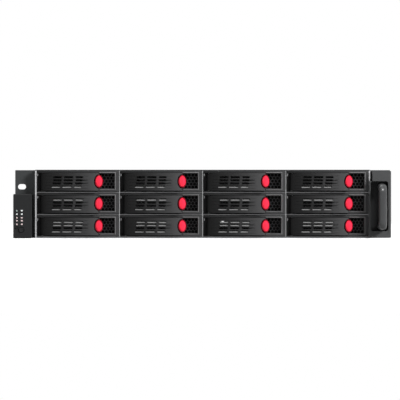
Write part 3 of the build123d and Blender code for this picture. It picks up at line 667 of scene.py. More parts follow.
# %% Perforated plate tree
def perforation_tree():
    """Staggered six-sided rings in the XY plane from the origin, thickness along +Z."""
    floats = ("Pitch", "Hole Radius", "Thickness")
    inputs = [("Columns", "NodeSocketInt"), ("Rows", "NodeSocketInt")]
    inputs += [(label, "NodeSocketFloat") for label in floats]
    inputs.append(("Material", "NodeSocketMaterial"))
    tree, given, out = nodes_tree("perforated_plate", inputs)

    def maths(operation, first, second=0.0):
        return tree_node(tree, "ShaderNodeMath", {0: first, 1: second}, operation=operation).outputs[0]

    corner = maths("DIVIDE", given["Pitch"], math.sqrt(3))
    rim = tree_node(tree, "GeometryNodeCurvePrimitiveCircle", {"Resolution": 6, "Radius": corner})
    quarter = tree_node(tree, "GeometryNodeTransform", {"Geometry": rim.outputs["Curve"]})
    quarter.inputs["Rotation"].default_value = (0, 0, math.radians(30))
    hole = tree_node(
        tree, "GeometryNodeCurvePrimitiveCircle", {"Resolution": 12, "Radius": given["Hole Radius"]}
    )
    both = tree.nodes.new("GeometryNodeJoinGeometry")
    tree.links.new(quarter.outputs["Geometry"], both.inputs["Geometry"])
    tree.links.new(hole.outputs["Curve"], both.inputs["Geometry"])
    face = tree_node(tree, "GeometryNodeFillCurve", {0: both.outputs["Geometry"]})
    thick = tree_node(
        tree, "GeometryNodeExtrudeMesh",
        {"Mesh": face.outputs["Mesh"], "Offset Scale": given["Thickness"], "Individual": False},
    )
    under = tree_node(tree, "GeometryNodeFlipFaces", {"Mesh": face.outputs["Mesh"]})
    ring = tree.nodes.new("GeometryNodeJoinGeometry")
    tree.links.new(thick.outputs["Mesh"], ring.inputs["Geometry"])
    tree.links.new(under.outputs["Mesh"], ring.inputs["Geometry"])
    count = maths("MULTIPLY", given["Columns"], given["Rows"])
    line = tree_node(tree, "GeometryNodeMeshLine", {"Count": count})
    line.inputs["Offset"].default_value = (0, 0, 0)
    index = tree.nodes.new("GeometryNodeInputIndex").outputs["Index"]
    row = maths("FLOOR", maths("DIVIDE", index, given["Columns"]))
    column = maths("SUBTRACT", index, maths("MULTIPLY", row, given["Columns"]))
    shift = maths("MULTIPLY", maths("MODULO", row, 2.0), 0.5)
    across = maths("MULTIPLY", maths("ADD", column, shift), given["Pitch"])
    up = maths("MULTIPLY", maths("MULTIPLY", row, given["Pitch"]), math.sqrt(3) / 2)
    place = tree_node(tree, "ShaderNodeCombineXYZ", {"X": across, "Y": up})
    spots = tree_node(
        tree, "GeometryNodeSetPosition",
        {"Geometry": line.outputs["Mesh"], "Position": place.outputs["Vector"]},
    )
    copies = real_copies(tree, {"Points": spots.outputs["Geometry"], "Instance": ring.outputs["Geometry"]})
    welded = tree_node(tree, "GeometryNodeMergeByDistance", {"Geometry": copies, "Distance": THIN})
    return ended(tree, welded.outputs["Geometry"], given, out)


PERFORATION = perforation_tree()


def perforated(left, right, low, high, near, far, pitch, hole, material):
    """A perforated plate in the front view that fills a rectangle with whole cells."""
    rise = pitch * math.sqrt(3) / 2
    columns = int((right - left) / pitch)
    rows = int((high - low) / rise)
    bm = grown(
        PERFORATION, empty_host(), columns=columns, rows=rows, pitch=pitch, hole_radius=hole,
        thickness=far - near, material=material,
    )
    start_x = (left + right) / 2 - (columns - 0.5) * pitch / 2
    start_z = (low + high) / 2 - (rows - 1) * rise / 2
    return laid(bm, axes(ACROSS, UP, -BACK), Vector((start_x, far, start_z)))


# %% [markdown]
# ### Ribs and screws
# Ribs are a bar on each point of a line. A screw is made once, as a small sheet with a cross cut
# in it, and the tree sets it on the points of a host mesh and turns it to face along a stored
# vector, with a seeded random turn, because no two screws stop at the same angle.


# %% Rib and screw trees
def rib_tree():
    """Bars along X, one above another in Y, half sunk in the plane z = 0."""
    floats = ("Length", "Pitch", "Radius")
    inputs = [("Count", "NodeSocketInt")] + [(label, "NodeSocketFloat") for label in floats]
    inputs.append(("Material", "NodeSocketMaterial"))
    tree, given, out = nodes_tree("rib_row", inputs)
    step = tree_node(tree, "ShaderNodeCombineXYZ", {"Y": given["Pitch"]})
    line = tree_node(
        tree, "GeometryNodeMeshLine", {"Count": given["Count"], "Offset": step.outputs["Vector"]}
    )
    end = tree_node(tree, "ShaderNodeCombineXYZ", {"X": given["Length"]})
    spine = tree_node(tree, "GeometryNodeCurvePrimitiveLine", {"End": end.outputs["Vector"]})
    round_bar = tree_node(
        tree, "GeometryNodeCurvePrimitiveCircle", {"Resolution": 6, "Radius": given["Radius"]}
    )
    bar = tree_node(
        tree, "GeometryNodeCurveToMesh",
        {"Curve": spine.outputs["Curve"], "Profile Curve": round_bar.outputs["Curve"], "Fill Caps": True},
    )
    copies = real_copies(tree, {"Points": line.outputs["Mesh"], "Instance": bar.outputs["Mesh"]})
    return ended(tree, copies, given, out)


def screw_tree():
    """Sets the given fastener on every point of the host, facing along the stored vector."""
    inputs = [("Fastener", "NodeSocketObject"), ("Seed", "NodeSocketInt")]
    tree, given, out = nodes_tree("screw_set", inputs + [("Material", "NodeSocketMaterial")])
    fastener = tree_node(tree, "GeometryNodeObjectInfo", {"Object": given["Fastener"]})
    facing = tree_node(
        tree, "GeometryNodeInputNamedAttribute", {"Name": "facing"}, data_type="FLOAT_VECTOR"
    )
    aim = tree_node(
        tree, "FunctionNodeAlignRotationToVector", {"Vector": facing.outputs["Attribute"]}, axis="Z"
    )
    chance = tree_node(tree, "FunctionNodeRandomValue", {"Seed": given["Seed"]}, data_type="FLOAT")
    turn = tree_node(tree, "ShaderNodeMath", {0: chance.outputs[1], 1: math.pi}, operation="MULTIPLY")
    spin = tree_node(tree, "ShaderNodeCombineXYZ", {"Z": turn.outputs[0]})
    twist = tree_node(
        tree, "FunctionNodeRotateRotation",
        {"Rotation": aim.outputs["Rotation"], "Rotate By": spin.outputs["Vector"]}, rotation_space="LOCAL",
    )
    form, turned_by = fastener.outputs["Geometry"], twist.outputs["Rotation"]
    copies = real_copies(tree, {"Points": given["Geometry"], "Instance": form, "Rotation": turned_by})
    return ended(tree, copies, given, out)


RIBS = rib_tree()
SCREWS = screw_tree()


def cross_outline(reach, width):
    """The outline of a cross recess."""
    w = width / 2
    arm = [(reach, -w), (reach, w), (w, w)]
    points = []
    for quarter in range(4):
        c, s = round(math.cos(quarter * math.pi / 2)), round(math.sin(quarter * math.pi / 2))
        points += [(x * c - y * s, x * s + y * c) for x, y in arm]
    return points


def fastener_object(name, bm):
    """An object outside the scene, for the screw tree to copy."""
    mesh = bpy.data.meshes.new(name)
    bm.to_mesh(mesh)
    bm.free()
    return bpy.data.objects.new(name, mesh)


def pan_head(radius, height):
    """A screw head seen along +Z: a domed disc with a cross recess, and a floor under it."""
    head = sheet([oval(0, 0, 2 * radius, 2 * radius, 18), cross_outline(radius * 0.55, radius * 0.26)],
                 height, height * 0.35)
    bmesh.ops.translate(head, verts=head.verts, vec=(0, 0, height / 2))
    floor = turned([(0, radius * 0.7), (height * 0.3, radius * 0.7)], Vector((0, 0, 0)), UP, 8)
    return fastener_object("pan_head", gathered(head, floor))


def screws(places, head, material=NICKEL, seed=1):
    """Screw heads at ((x, y, z), facing) places, as a bmesh."""
    host = bpy.data.meshes.new("screw_places")
    host.from_pydata([place for place, facing in places], [], [])
    stored = host.attributes.new("facing", "FLOAT_VECTOR", "POINT")
    for i, (place, facing) in enumerate(places):
        stored.data[i].vector = facing
    return grown(SCREWS, host, fastener=head, seed=seed, material=material)


print("node trees", [tree.name for tree in (PERFORATION, RIBS, SCREWS)])

# %% [markdown]
# ## Drive trays
# Each tray is a moulded bezel on a steel sled. From the front the bezel is a frame: a long pocket
# that the lever lies in, a narrow wall, and a recess with a perforated floor, joined where the
# release button passes. All of that is one sheet with one hole, so the curve tool suits it.

# %% Bezel sizes
POCKET_LEFT, POCKET_RIGHT = 1.925, 80.15
POCKET_LOW, POCKET_HIGH = -12.5, 10.6
RECESS_LEFT, RECESS_RIGHT = 81.2, 100.2
RECESS_LOW, RECESS_HIGH = -9.4, 9.8
RECESS_FLOOR = BEZEL_FRONT + 7.0
POCKET_FLOOR = BEZEL_FRONT + 8.0
BEZEL_BACK = BEZEL_FRONT + 16.0
BUTTON_X, BUTTON_Z = 80.3, -0.4
BUTTON_WIDTH, BUTTON_HEIGHT = 11.0, 17.0
STEM_HALF_WIDTH, STEM_HALF_HEIGHT = 2.8, 5.3
CLEAR = 0.3
BOSS_FRONT, BOSS_WALL = -11.6, 0.7
BEAD_GAP, BEAD_WIDTH, BEAD_FOOT = 0.8, 1.0, 0.8
RECESS_PITCH, RECESS_HOLE = 4.4, 1.98
WINDOW_PITCH, WINDOW_HOLE = 4.2, 1.75
SLED_LEFT, SLED_RIGHT, SLED_STEEL = 1.175, 105.575, 1.0
HINGE = Vector((7.775, -9.0, 0))


def stem_outline(margin, radius):
    """The outline of the button's stem, grown by a margin."""
    wide, tall = STEM_HALF_WIDTH + margin, STEM_HALF_HEIGHT + margin
    return rounded(BUTTON_X - wide, BUTTON_X + wide, BUTTON_Z - tall, BUTTON_Z + tall, radius)


def bezel():
    """The bezel's frame, its pocket floor with the air window, and its hollow back."""
    gap = BUTTON_WIDTH / 2 + CLEAR
    tall = BUTTON_HEIGHT / 2 + CLEAR
    step = RECESS_LEFT - BUTTON_X
    low = BUTTON_Z - tall * math.sqrt(1 - (step / gap) ** 2)
    high = BUTTON_Z + tall * math.sqrt(1 - (step / gap) ** 2)
    hole = [
        (POCKET_LEFT, POCKET_LOW), (POCKET_RIGHT, POCKET_LOW), (POCKET_RIGHT, BUTTON_Z - tall),
        (RECESS_LEFT, low), (RECESS_LEFT, RECESS_LOW), (RECESS_RIGHT, RECESS_LOW),
        (RECESS_RIGHT, RECESS_HIGH), (RECESS_LEFT, RECESS_HIGH), (RECESS_LEFT, high),
        (POCKET_RIGHT, BUTTON_Z + tall), (POCKET_RIGHT, POCKET_HIGH), (POCKET_LEFT, POCKET_HIGH),
    ]
    outside = rounded(TRAY_LEFT, TRAY_RIGHT, -BEZEL_HALF, BEZEL_HALF, 0.7)
    rim = front_sheet([outside, hole], BEZEL_FRONT, POCKET_FLOOR + 2, 0.35)
    window = rounded(15.5, 63.5, -10.45, 8.55, 1.0)
    floor = front_sheet([square(1.3, 81.0, -13, 11.2), window], POCKET_FLOOR, POCKET_FLOOR + 1.8, 0.2)
    inside = rounded(3.3, 103.4, -11.3, 11.3, 1.0)
    back = front_sheet([square(TRAY_LEFT, TRAY_RIGHT, -BEZEL_HALF, BEZEL_HALF), inside],
                       POCKET_FLOOR + 1.9, BEZEL_BACK, 0.3)
    boss_outlines = [stem_outline(CLEAR + BOSS_WALL, 1.0), stem_outline(CLEAR, 0.8)]
    boss = front_sheet(boss_outlines, BOSS_FRONT, POCKET_FLOOR + 1, 0.2)
    return gathered(rim, floor, back, boss)


def recess_bead():
    """The raised bead under the recess, right of it and above it."""
    left = RECESS_LEFT - 0.2
    inner = RECESS_RIGHT + BEAD_GAP
    outer = inner + BEAD_WIDTH
    low, high = RECESS_LOW - BEAD_GAP, RECESS_HIGH + BEAD_GAP
    foot, head = low - BEAD_FOOT, high + BEAD_WIDTH
    bead = [
        (left, low), (inner, low), (inner, high), (left, high),
        (left, head), (outer, head), (outer, foot), (left, foot),
    ]
    return front_sheet([bead], BEZEL_FRONT - 0.7, BEZEL_FRONT + 0.3, 0.25)


def ramp(value, start, span):
    """Rises evenly from 0 at the start to 1 at the end of the span."""
    return min(max((value - start) / span, 0), 1)


def bezel_painted_shade(point):
    """Painted shade: nearly black beside the hinge, and full from the middle on."""
    return 0.2 + 0.8 * ramp(point.x, 8, 60)


def recess_backing():
    """The closed wall behind the recess grille."""
    outline = square(RECESS_LEFT - 0.6, RECESS_RIGHT + 1.4, RECESS_LOW - 1.2, RECESS_HIGH + 1.2)
    return front_sheet([outline], RECESS_FLOOR + 1.9, POCKET_FLOOR + 1.5, 0.1)


def sled():
    """The steel sled: floor with two windows, two rails with drive holes, the clip and the pin."""
    low = -BEZEL_HALF
    left, right, steel = SLED_LEFT, SLED_RIGHT, SLED_STEEL
    windows = [rounded(25.4, 81.4, start, start + 44, 3) for start in (26.0, 92.0)]
    corners = [oval(x, y, 3.6, 3.6, 12) for x in (12.0, 94.8) for y in (45.0, 141.0)]
    plate = square(left + steel, right - steel, 2, SLED_BACK)
    floor = plan_sheet([plate] + windows + corners, low, low + steel, 0.15)
    parts = [floor]
    holes = [oval(y, low + 9.0, 3.4, 3.4, 12) for y in (42.0, 84.0, 144.0)]
    rail = rounded(-2, SLED_BACK, low, low + 23, 1.2)
    for x in (left, right - steel):
        parts.append(side_sheet([rail] + holes, x, x + steel, 0.15))
    parts.append(side_sheet([square(BEZEL_FRONT, -2, 6.6, 9.55)], left, left + steel, 0.15))
    pin = [(-BEZEL_HALF + 0.3, 1.1), (-BEZEL_HALF + 0.5, 1.25), (11.9, 1.25), (12.2, 1.1)]
    parts.append(turned(pin, HINGE, UP, 14))
    return gathered(*parts)


def sled_clip():
    """The small bent clip that the sled shows beside the lever's hinge."""
    clip = [(1.3, 7.4), (2.2, 7.2), (3.0, 8.0), (2.6, 8.5), (2.9, 9.2), (2.2, 9.5), (1.3, 9.3)]
    return front_sheet([clip], BEZEL_FRONT - 0.5, BEZEL_FRONT + 0.6, 0.2)


bezel_form = bezel()
bead_form = recess_bead()
clip_form = sled_clip()
sled_form = sled()
backing_form = recess_backing()
recess_plate = perforated(
    RECESS_LEFT - 1.4, RECESS_RIGHT + 1.6, RECESS_LOW - 1.5, RECESS_HIGH + 1.5, RECESS_FLOOR,
    RECESS_FLOOR + 1.6, RECESS_PITCH, RECESS_HOLE, GRILLE_GREY,
)
window_plate = perforated(
    14.5, 64.5, -11.5, 9.5, POCKET_FLOOR + 2.0, POCKET_FLOOR + 2.5, WINDOW_PITCH, WINDOW_HOLE, BLACK_PAINT,
)
for label, place in BAYS.items():
    tray = f"tray_{label}"
    piece(f"bezel_{label}", bezel_form, BEZEL_PLASTIC, tray, tray, offset=place, painted_shade=bezel_painted_shade)
    # The bead's lighter colour is a painted highlight.
    piece(f"recess_bead_{label}", bead_form, BEAD_HIGHLIGHT_PLASTIC, tray, slot="tray_plastic", offset=place)
    piece(f"sled_clip_{label}", clip_form, CLIP_ZINC, tray, slot="zinc_steel", offset=place)
    piece(f"sled_{label}", sled_form, SLED_ZINC, tray, slot="zinc_steel", offset=place)
    piece(f"recess_grille_{label}", recess_plate, GRILLE_GREY, tray, slot="zinc_steel", offset=place)
    # The wall behind the recess is near black: painted shade in the recess.
    piece(f"recess_wall_{label}", backing_form, BLACK_AND_PAINTED_SHADE, tray, slot="tray_plastic", offset=place)
    piece(f"window_grille_{label}", window_plate, BLACK_PAINT, tray, slot="black_paint", offset=place)
print("tray pieces", len(bezel_form.faces), len(sled_form.faces), len(recess_plate.faces))

# %% [markdown]
# ## Levers
# The lever is a shallow curved shell with twelve louvres. Cutting slots through a curved shell is
# awkward, so it is drawn flat instead, with its slots and ribs, cut into narrow strips where it
# will curve, and then wrapped onto the curve: an arc from the hinge, a flat run and a last arc.

# %% The lever's front curve
BARREL = 2.6
SHOULDER = Vector((18.0, BEZEL_FRONT - 1.4, 0))
TIP = Vector((79.9, BEZEL_FRONT - 5.2, 0))
LEVER_LOW, LEVER_HIGH = -12.2, 10.3
ARC_STEPS = 12
BARREL_LEAN = 0.45


def tangent_arc(start, direction, end, steps):
    """Points on the arc from start to end that leaves start along direction."""
    chord = end - start
    lean = math.atan2(direction.cross(chord).z, direction.dot(chord))
    points = []
    for i in range(steps + 1):
        reach = chord.length * math.sin(lean * i / steps) / math.sin(lean)
        points.append(start + Matrix.Rotation(lean * i / steps, 3, "Z") @ direction * reach)
    return points, Matrix.Rotation(2 * lean, 3, "Z") @ direction


def lever_curve():
    """The front curve from the barrel to the tip: two arcs that meet smoothly at the shoulder."""
    barrel = HINGE - BARREL * Vector((math.sin(BARREL_LEAN), math.cos(BARREL_LEAN), 0))
    long_arc, direction = tangent_arc(TIP, Vector((-1, 0, 0)), SHOULDER, ARC_STEPS)
    short_arc, _ = tangent_arc(SHOULDER, direction, barrel, ARC_STEPS // 2)
    return (long_arc + short_arc[1:])[::-1]


CURVE = lever_curve()
LENGTHS = [0.0]
for before, after in zip(CURVE, CURVE[1:]):
    LENGTHS.append(LENGTHS[-1] + (after - before).length)
print("lever curve", len(CURVE), "points,", round(LENGTHS[-1], 1), "mm long")


def along_curve(x):
    """The distance along the front curve at which it reaches x."""
    for i in range(len(CURVE) - 1):
        if CURVE[i].x <= x <= CURVE[i + 1].x:
            share = (x - CURVE[i].x) / (CURVE[i + 1].x - CURVE[i].x)
            return LENGTHS[i] + share * (LENGTHS[i + 1] - LENGTHS[i])
    return LENGTHS[-1]


def wrapped(bm):
    """Cuts a flat bmesh (x along the curve, y up, z outwards) at the curve's points and bends it."""
    for length in LENGTHS[1:-1]:
        geometry = bm.verts[:] + bm.edges[:] + bm.faces[:]
        bmesh.ops.bisect_plane(bm, geom=geometry, plane_co=(length, 0, 0), plane_no=(1, 0, 0))
    outwards = []
    for i in range(len(CURVE)):
        before = CURVE[max(i - 1, 0)]
        after = CURVE[min(i + 1, len(CURVE) - 1)]
        outwards.append((after - before).normalized().cross(UP))
    for vert in bm.verts:
        x, y, z = vert.co
        i = max(n for n in range(len(LENGTHS) - 1) if LENGTHS[n] <= x + THIN or n == 0)
        share = (x - LENGTHS[i]) / (LENGTHS[i + 1] - LENGTHS[i])
        place = CURVE[i].lerp(CURVE[i + 1], share)
        out = outwards[i].lerp(outwards[i + 1], min(max(share, 0), 1)).normalized()
        vert.co = place + out * z + UP * y
    return bm


# %% [markdown]
# The louvres stand in four rows of three. The rows lean a little: each lower row sits further
# left. The last louvre of a row runs out to the right in a narrow tail, and five fine ribs pass
# between the rows. Behind some rows a bright steel lip stands; it is partly a painted highlight, set
# only behind the louvre rows that are lit in each row of trays.

# %% Lever form
LEVER_WALL = 1.8
LOUVRE_HEIGHT = 2.3
LOUVRE_ROWS = ((5.0, 0.8), (1.0, 0.5), (-3.0, 0.0), (-7.2, -1.2))
LOUVRE_SPANS = ((21.2, 32.2), (35.0, 46.8), (50.0, 59.6))
TAIL_END, TAIL_HEIGHT = 66.5, 0.8
RIB_START, RIB_END = 11.6, 67.9
RIB_LOWEST, RIB_PITCH, RIB_COUNT, RIB_RADIUS = -9.1, 4.025, 5, 0.42
NOTCH_WIDTH, NOTCH_HEIGHT = 12.0, 18.0
LIT_ROWS = {1: (3,), 2: (0, 3), 3: (0, 1, 3)}


def louvre_outlines():
    """The twelve louvres in the flat sheet."""
    outlines = []
    half = LOUVRE_HEIGHT / 2
    for level, shift in LOUVRE_ROWS:
        for left, right in LOUVRE_SPANS:
            start = along_curve(left + shift)
            end = along_curve(right + shift)
            shape = rounded(start, end, level - half, level + half, 0.6, 2)
            if right == LOUVRE_SPANS[-1][1] and level in (LOUVRE_ROWS[1][0], LOUVRE_ROWS[2][0]):
                tail = along_curve(TAIL_END)
                thin = TAIL_HEIGHT / 2
                lower = [(start, -half), (end - 1, -half), (end, -thin), (tail, -thin / 2)]
                upper = [(x, -rise) for x, rise in reversed(lower)]
                shape = [(x, level + rise) for x, rise in lower + upper]
            outlines.append(shape)
    return outlines


def lever_skin():
    """The louvred front with its ribs, wrapped onto the curve."""
    end = LENGTHS[-1]
    notch = oval(end + 0.4, BUTTON_Z, NOTCH_WIDTH, NOTCH_HEIGHT, 16, 266, -172)
    outline = [(0.0, LEVER_LOW), (end, LEVER_LOW)] + notch + [(end, LEVER_HIGH), (0.0, LEVER_HIGH)]
    skin = sheet([outline] + louvre_outlines(), LEVER_WALL, 0.25)
    bmesh.ops.translate(skin, verts=skin.verts, vec=(0, 0, -LEVER_WALL / 2))
    start = along_curve(RIB_START)
    ribs = grown(
        RIBS, empty_host(), count=RIB_COUNT, length=along_curve(RIB_END) - start, pitch=RIB_PITCH,
        radius=RIB_RADIUS, material=TRAY_PLASTIC,
    )
    bmesh.ops.translate(ribs, verts=ribs.verts, vec=(start, RIB_LOWEST, -0.05))
    return wrapped(gathered(skin, ribs))


def lever_shell():
    """Top and bottom walls, the wall round the notch and the hinge barrel."""
    set_back = 0.3
    front = [(p.x, p.y + set_back) for p in CURVE]
    wall = front + [(TIP.x, HINGE.y), (HINGE.x, HINGE.y)]
    parts = []
    for low in (LEVER_LOW, LEVER_HIGH - LEVER_WALL):
        parts.append(plan_sheet([wall], low, low + LEVER_WALL, 0.25))
    outer = oval(BUTTON_X, BUTTON_Z, NOTCH_WIDTH, NOTCH_HEIGHT, 16, 94, 172)
    inner = oval(BUTTON_X, BUTTON_Z, NOTCH_WIDTH + 3.2, NOTCH_HEIGHT + 3.2, 16, 266, -172)
    parts.append(front_sheet([outer + inner], TIP.y + 1.0, HINGE.y, 0.1))
    barrel = [oval(HINGE.x, HINGE.y, 2 * BARREL, 2 * BARREL, 24), oval(HINGE.x, HINGE.y, 2.62, 2.62, 12)]
    parts.append(plan_sheet(barrel, LEVER_LOW, LEVER_HIGH, 0.2))
    return gathered(*parts)


def highlight_lip_form(rows):
    """Steel lips behind the lower edges of the named louvre rows, sloping up to the back: partly a painted
    highlight.
    """
    parts = []
    half = LOUVRE_HEIGHT / 2
    for row in rows:
        level, shift = LOUVRE_ROWS[row]
        for left, right in LOUVRE_SPANS:
            start = along_curve(left + shift)
            end = along_curve(right + shift)
            low = level - half
            rise = [(low - 0.1, -0.5), (low + 1.5, -1.6), (low + 1.5, -2.2), (low - 0.1, -1.1)]
            parts.append(lofted([[(x, y, z) for y, z in rise] for x in (start, end)]))
    return wrapped(gathered(*parts))


def lever_painted_shade(point):
    """Painted shade: low by the hinge and full at the grip end, where the lever's curve faces the light."""
    return 0.12 + 1.08 * ramp(point.x, HINGE.x, TIP.x - HINGE.x) ** 1.6


# A pale steel for the lips: partly a painted highlight where light falls into the louvres.
LIP_HIGHLIGHT_STEEL = finish("louvre_lip_steel", (0.3, 0.3, 0.3), 0.45, 0.5, GRAIN, 1500, 0.2, 0.004, 0.0)
lever_form = gathered(lever_skin(), lever_shell())
print("lever faces", len(lever_form.faces))
for row in ROWS:
    highlight_lips = highlight_lip_form(LIT_ROWS[row])
    for column in COLUMNS:
        label = f"r{row}c{column}"
        lever = f"lever_{label}"
        place = BAYS[label]
        piece(f"handle_{label}", lever_form, LEVER_PLASTIC, lever, lever, offset=place, painted_shade=lever_painted_shade)
        piece(f"louvre_lips_{label}", highlight_lips, LIP_HIGHLIGHT_STEEL, lever, slot="zinc_steel", offset=place)

# %% [markdown]
# ## Release buttons
# The button is an oval cap with a soft crown. It is a loft of ovals that shrink towards the front
# along a rounded profile, and a plain stem behind it, so the light rolls off its edge as on the
# moulded one. A painted shade stored on the cap darkens its rim further.

# %% Button form
CAP_FRONT = BEZEL_FRONT - 5.6
CAP_BACK = CAP_FRONT + 5.2
STEM_BACK = -0.8
CROWN = (
    (0, 1.0), (1.4, 0.97), (2.8, 0.905), (3.6, 0.84),
    (4.2, 0.75), (4.7, 0.6), (5.05, 0.38), (5.2, 0.15),
)


def button():
    """The oval cap and its stem."""
    rings = []
    for rise, share in CROWN:
        width, height = BUTTON_WIDTH * share, BUTTON_HEIGHT * share
        ring = oval(BUTTON_X, BUTTON_Z, width, height, 36)
        rings.append([Vector((x, CAP_BACK - rise, z)) for x, z in ring])
    cap = lofted(rings)
    stem = front_sheet([stem_outline(0, 0.6)], CAP_BACK - 0.5, STEM_BACK, 0.2)
    return gathered(cap, stem)


def button_painted_shade(point):
    """Painted shade: full on the crown, low where the cap turns away at its rim."""
    across = (point.x - BUTTON_X) / (BUTTON_WIDTH / 2)
    upright = (point.z - BUTTON_Z) / (BUTTON_HEIGHT / 2)
    return 1 - 0.82 * ramp(math.hypot(across, upright), 0.72, 0.15)


button_form = button()
for label, place in BAYS.items():
    body = f"button_{label}"
    piece(
        f"release_{label}", button_form, RED_PLASTIC, body, body,
        offset=place, smooth=50, painted_shade=button_painted_shade,
    )
print("button faces", len(button_form.faces))


# %% [markdown]
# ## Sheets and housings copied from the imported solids
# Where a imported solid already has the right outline, its shape is worth keeping and only its
# edges are too sharp: nothing real has a perfectly sharp edge. So the solid is copied, its loose
# triangles are merged back into whole faces, and every sharp edge gets a small chamfer.


# %% Copies with eased edges
def solids_of(node):
    """A node's separate solids as bmeshes in millimetres, with their flat faces whole."""
    whole = bmesh.new()
    whole.from_mesh(frame["nodes"][node].data)
    bmesh.ops.scale(whole, vec=(1 / mm, 1 / mm, 1 / mm), verts=whole.verts)
    bmesh.ops.remove_doubles(whole, verts=whole.verts, dist=0.002)
    bmesh.ops.dissolve_limit(whole, angle_limit=math.radians(1), verts=whole.verts, edges=whole.edges)
    left = set(whole.verts)
    solids = []
    while left:
        queue = [left.pop()]
        island = set(queue)
        while queue:
            for edge in queue.pop().link_edges:
                for vert in edge.verts:
                    if vert not in island:
                        island.add(vert)
                        queue.append(vert)
        left -= island
        solid = whole.copy()
        whole.verts.index_update()
        keep = {vert.index for vert in island}
        solid.verts.ensure_lookup_table()
        others = [vert for i, vert in enumerate(solid.verts) if i not in keep]
        bmesh.ops.delete(solid, geom=others, context="VERTS")
        solids.append(solid)
    whole.free()
    return solids


def span(bm):
    """The lowest and highest corner of a bmesh."""
    points = [vert.co for vert in bm.verts]
    return (
        Vector([min(point[i] for point in points) for i in range(3)]),
        Vector([max(point[i] for point in points) for i in range(3)]),
    )


def eased(bm, width, angle=30):
    """Chamfers every edge that turns more than the angle."""
    sharp = [edge for edge in bm.edges if len(edge.link_faces) == 2]
    sharp = [edge for edge in sharp if edge.calc_face_angle(0) > math.radians(angle)]
    bmesh.ops.bevel(bm, geom=sharp, offset=width, segments=1, affect="EDGES", clamp_overlap=True)
    return bm


def eased_node(name, node, material, body, width, keep=lambda low, high: True, replaces=True, **extra):
    """A piece made of those solids of a node whose corners pass a test."""
    kept = [solid for solid in solids_of(node) if keep(*span(solid))]
    bm = eased(gathered(*kept), width)
    return piece(name, bm, material, body, node if replaces else None, **extra)


# %% [markdown]
# ## Drive cage
# The cage is galvanised sheet. Its dividers stand upright and catch the light as thin bright
# lines; the shelves between the rows lie in shade and look darker, so they get a darker zinc as painted
# shade.

# %% Drive cage
eased_node("cage_uprights", "drive_cage", CAGE_ZINC, "chassis", 0.15, lambda low, high: high.x - low.x < 3)
eased_node(
    "cage_shelves", "drive_cage", SHELF_SHADE_ZINC, "chassis", 0.15, lambda low, high: high.x - low.x > 3,
    slot="zinc_steel",
)

# %% [markdown]
# ## Rack ears
# Each ear is a painted steel bracket with its slot for the rack screw. A sheet from outlines gives
# the flange and the leg, and countersunk screws hold the leg to the side wall.

# %% Ears
SLOT_LENGTH, SLOT_WIDTH = 10.4, 6.8
EAR_STEEL = 2.0


def slot_outline(x, z, length, width):
    """A slot with round ends, as an outline."""
    half = (length - width) / 2
    right = oval(x + half, z, width, width, 10, -90, 180)
    left = oval(x - half, z, width, width, 10, 90, 180)
    return right + left


def ear_form(node, side, slot_x, slot_z):
    """The flange with its slot, and the leg that lies on the side wall."""
    low, high = mm_box(node)
    flange = front_sheet(
        [rounded(low.x, high.x, low.z, high.z, 0.8), slot_outline(slot_x, slot_z, SLOT_LENGTH, SLOT_WIDTH)],
        low.y, 0, 0.25,
    )
    edges = sorted((side * WALL, side * (WALL + EAR_STEEL)))
    leg = side_sheet([rounded(0, high.y, low.z, high.z, 1.2)], edges[0], edges[1], 0.25)
    return gathered(flange, leg)


RACK_SLOTS = {"left_ear": (-1, -232.55, 66.225), "right_ear": (1, 232.55, 37.65)}
head_small = pan_head(2.6, 1.1)
for ear, (side, slot_x, slot_z) in RACK_SLOTS.items():
    piece(f"{ear}_bracket", ear_form(ear, side, slot_x, slot_z), EAR_PAINT, "chassis", ear)
    face = side * (WALL + EAR_STEEL)
    spots = [((face, y, z), (side, 0, 0)) for y in (14, 32) for z in (16, 44, 72)]
    piece(f"{ear}_screws", screws(spots, head_small), NICKEL, "chassis", slot="zinc_steel")

# %% [markdown]
# ## Control module
# A small moulded box on the left flange holds the power and reset buttons, and above them ten
# small marks in two columns. A texture could paint them, but thin sheets laid on the face keep a
# crisp edge from any distance. The marks are round in one column and square in the other.

# %% Control module
MODULE_FRONT = -20.0
MARK_LEVELS = (35.4, 31.05, 26.4, 22.6, 18.1)
MARK_COLUMNS = (-237.7, -231.4)
MARK_RISE = 0.12
CONTROL_BUTTONS = {"power_button": (-232.2, 10.9, 3.0), "reset_button": (-238.0, 13.8, 1.2)}
BUTTON_WELLS = {"power_button": (6.6, 24), "reset_button": (2.9, 14)}


def module_form():
    """The box with round front corners, a seam round its lid and the wells of its two buttons."""
    low, high = mm_box("control_module")
    outline = rounded(low.x, high.x, low.z, high.z, 1.4)
    wells = []
    for button_name, (width, count) in BUTTON_WELLS.items():
        x, z = CONTROL_BUTTONS[button_name][:2]
        wells.append(oval(x, z, width, width, count))
    lid = front_sheet([outline] + wells, MODULE_FRONT, MODULE_FRONT + 2, 0.6)
    seam = front_sheet([rounded(low.x + 0.5, high.x - 0.5, low.z + 0.5, high.z - 0.5, 1)],
                       MODULE_FRONT + 2, MODULE_FRONT + 2.5, 0.1)
    box = front_sheet([outline], MODULE_FRONT + 2.5, high.y, 0.4)
    return gathered(lid, seam, box)


def mark_form(rows, column):
    """Flat marks on the module's face, round in the first column and square in the second."""
    marks = []
    for row in rows:
        x, z = MARK_COLUMNS[column], MARK_LEVELS[row]
        if column == 0:
            shape = oval(x, z, 2.0, 2.0, 16)
        else:
            shape = rounded(x - 1.1, x + 1.1, z - 0.9, z + 0.9, 0.4)
        marks.append(front_sheet([shape], MODULE_FRONT - MARK_RISE, MODULE_FRONT + 0.1, 0.03))
    return gathered(*marks)


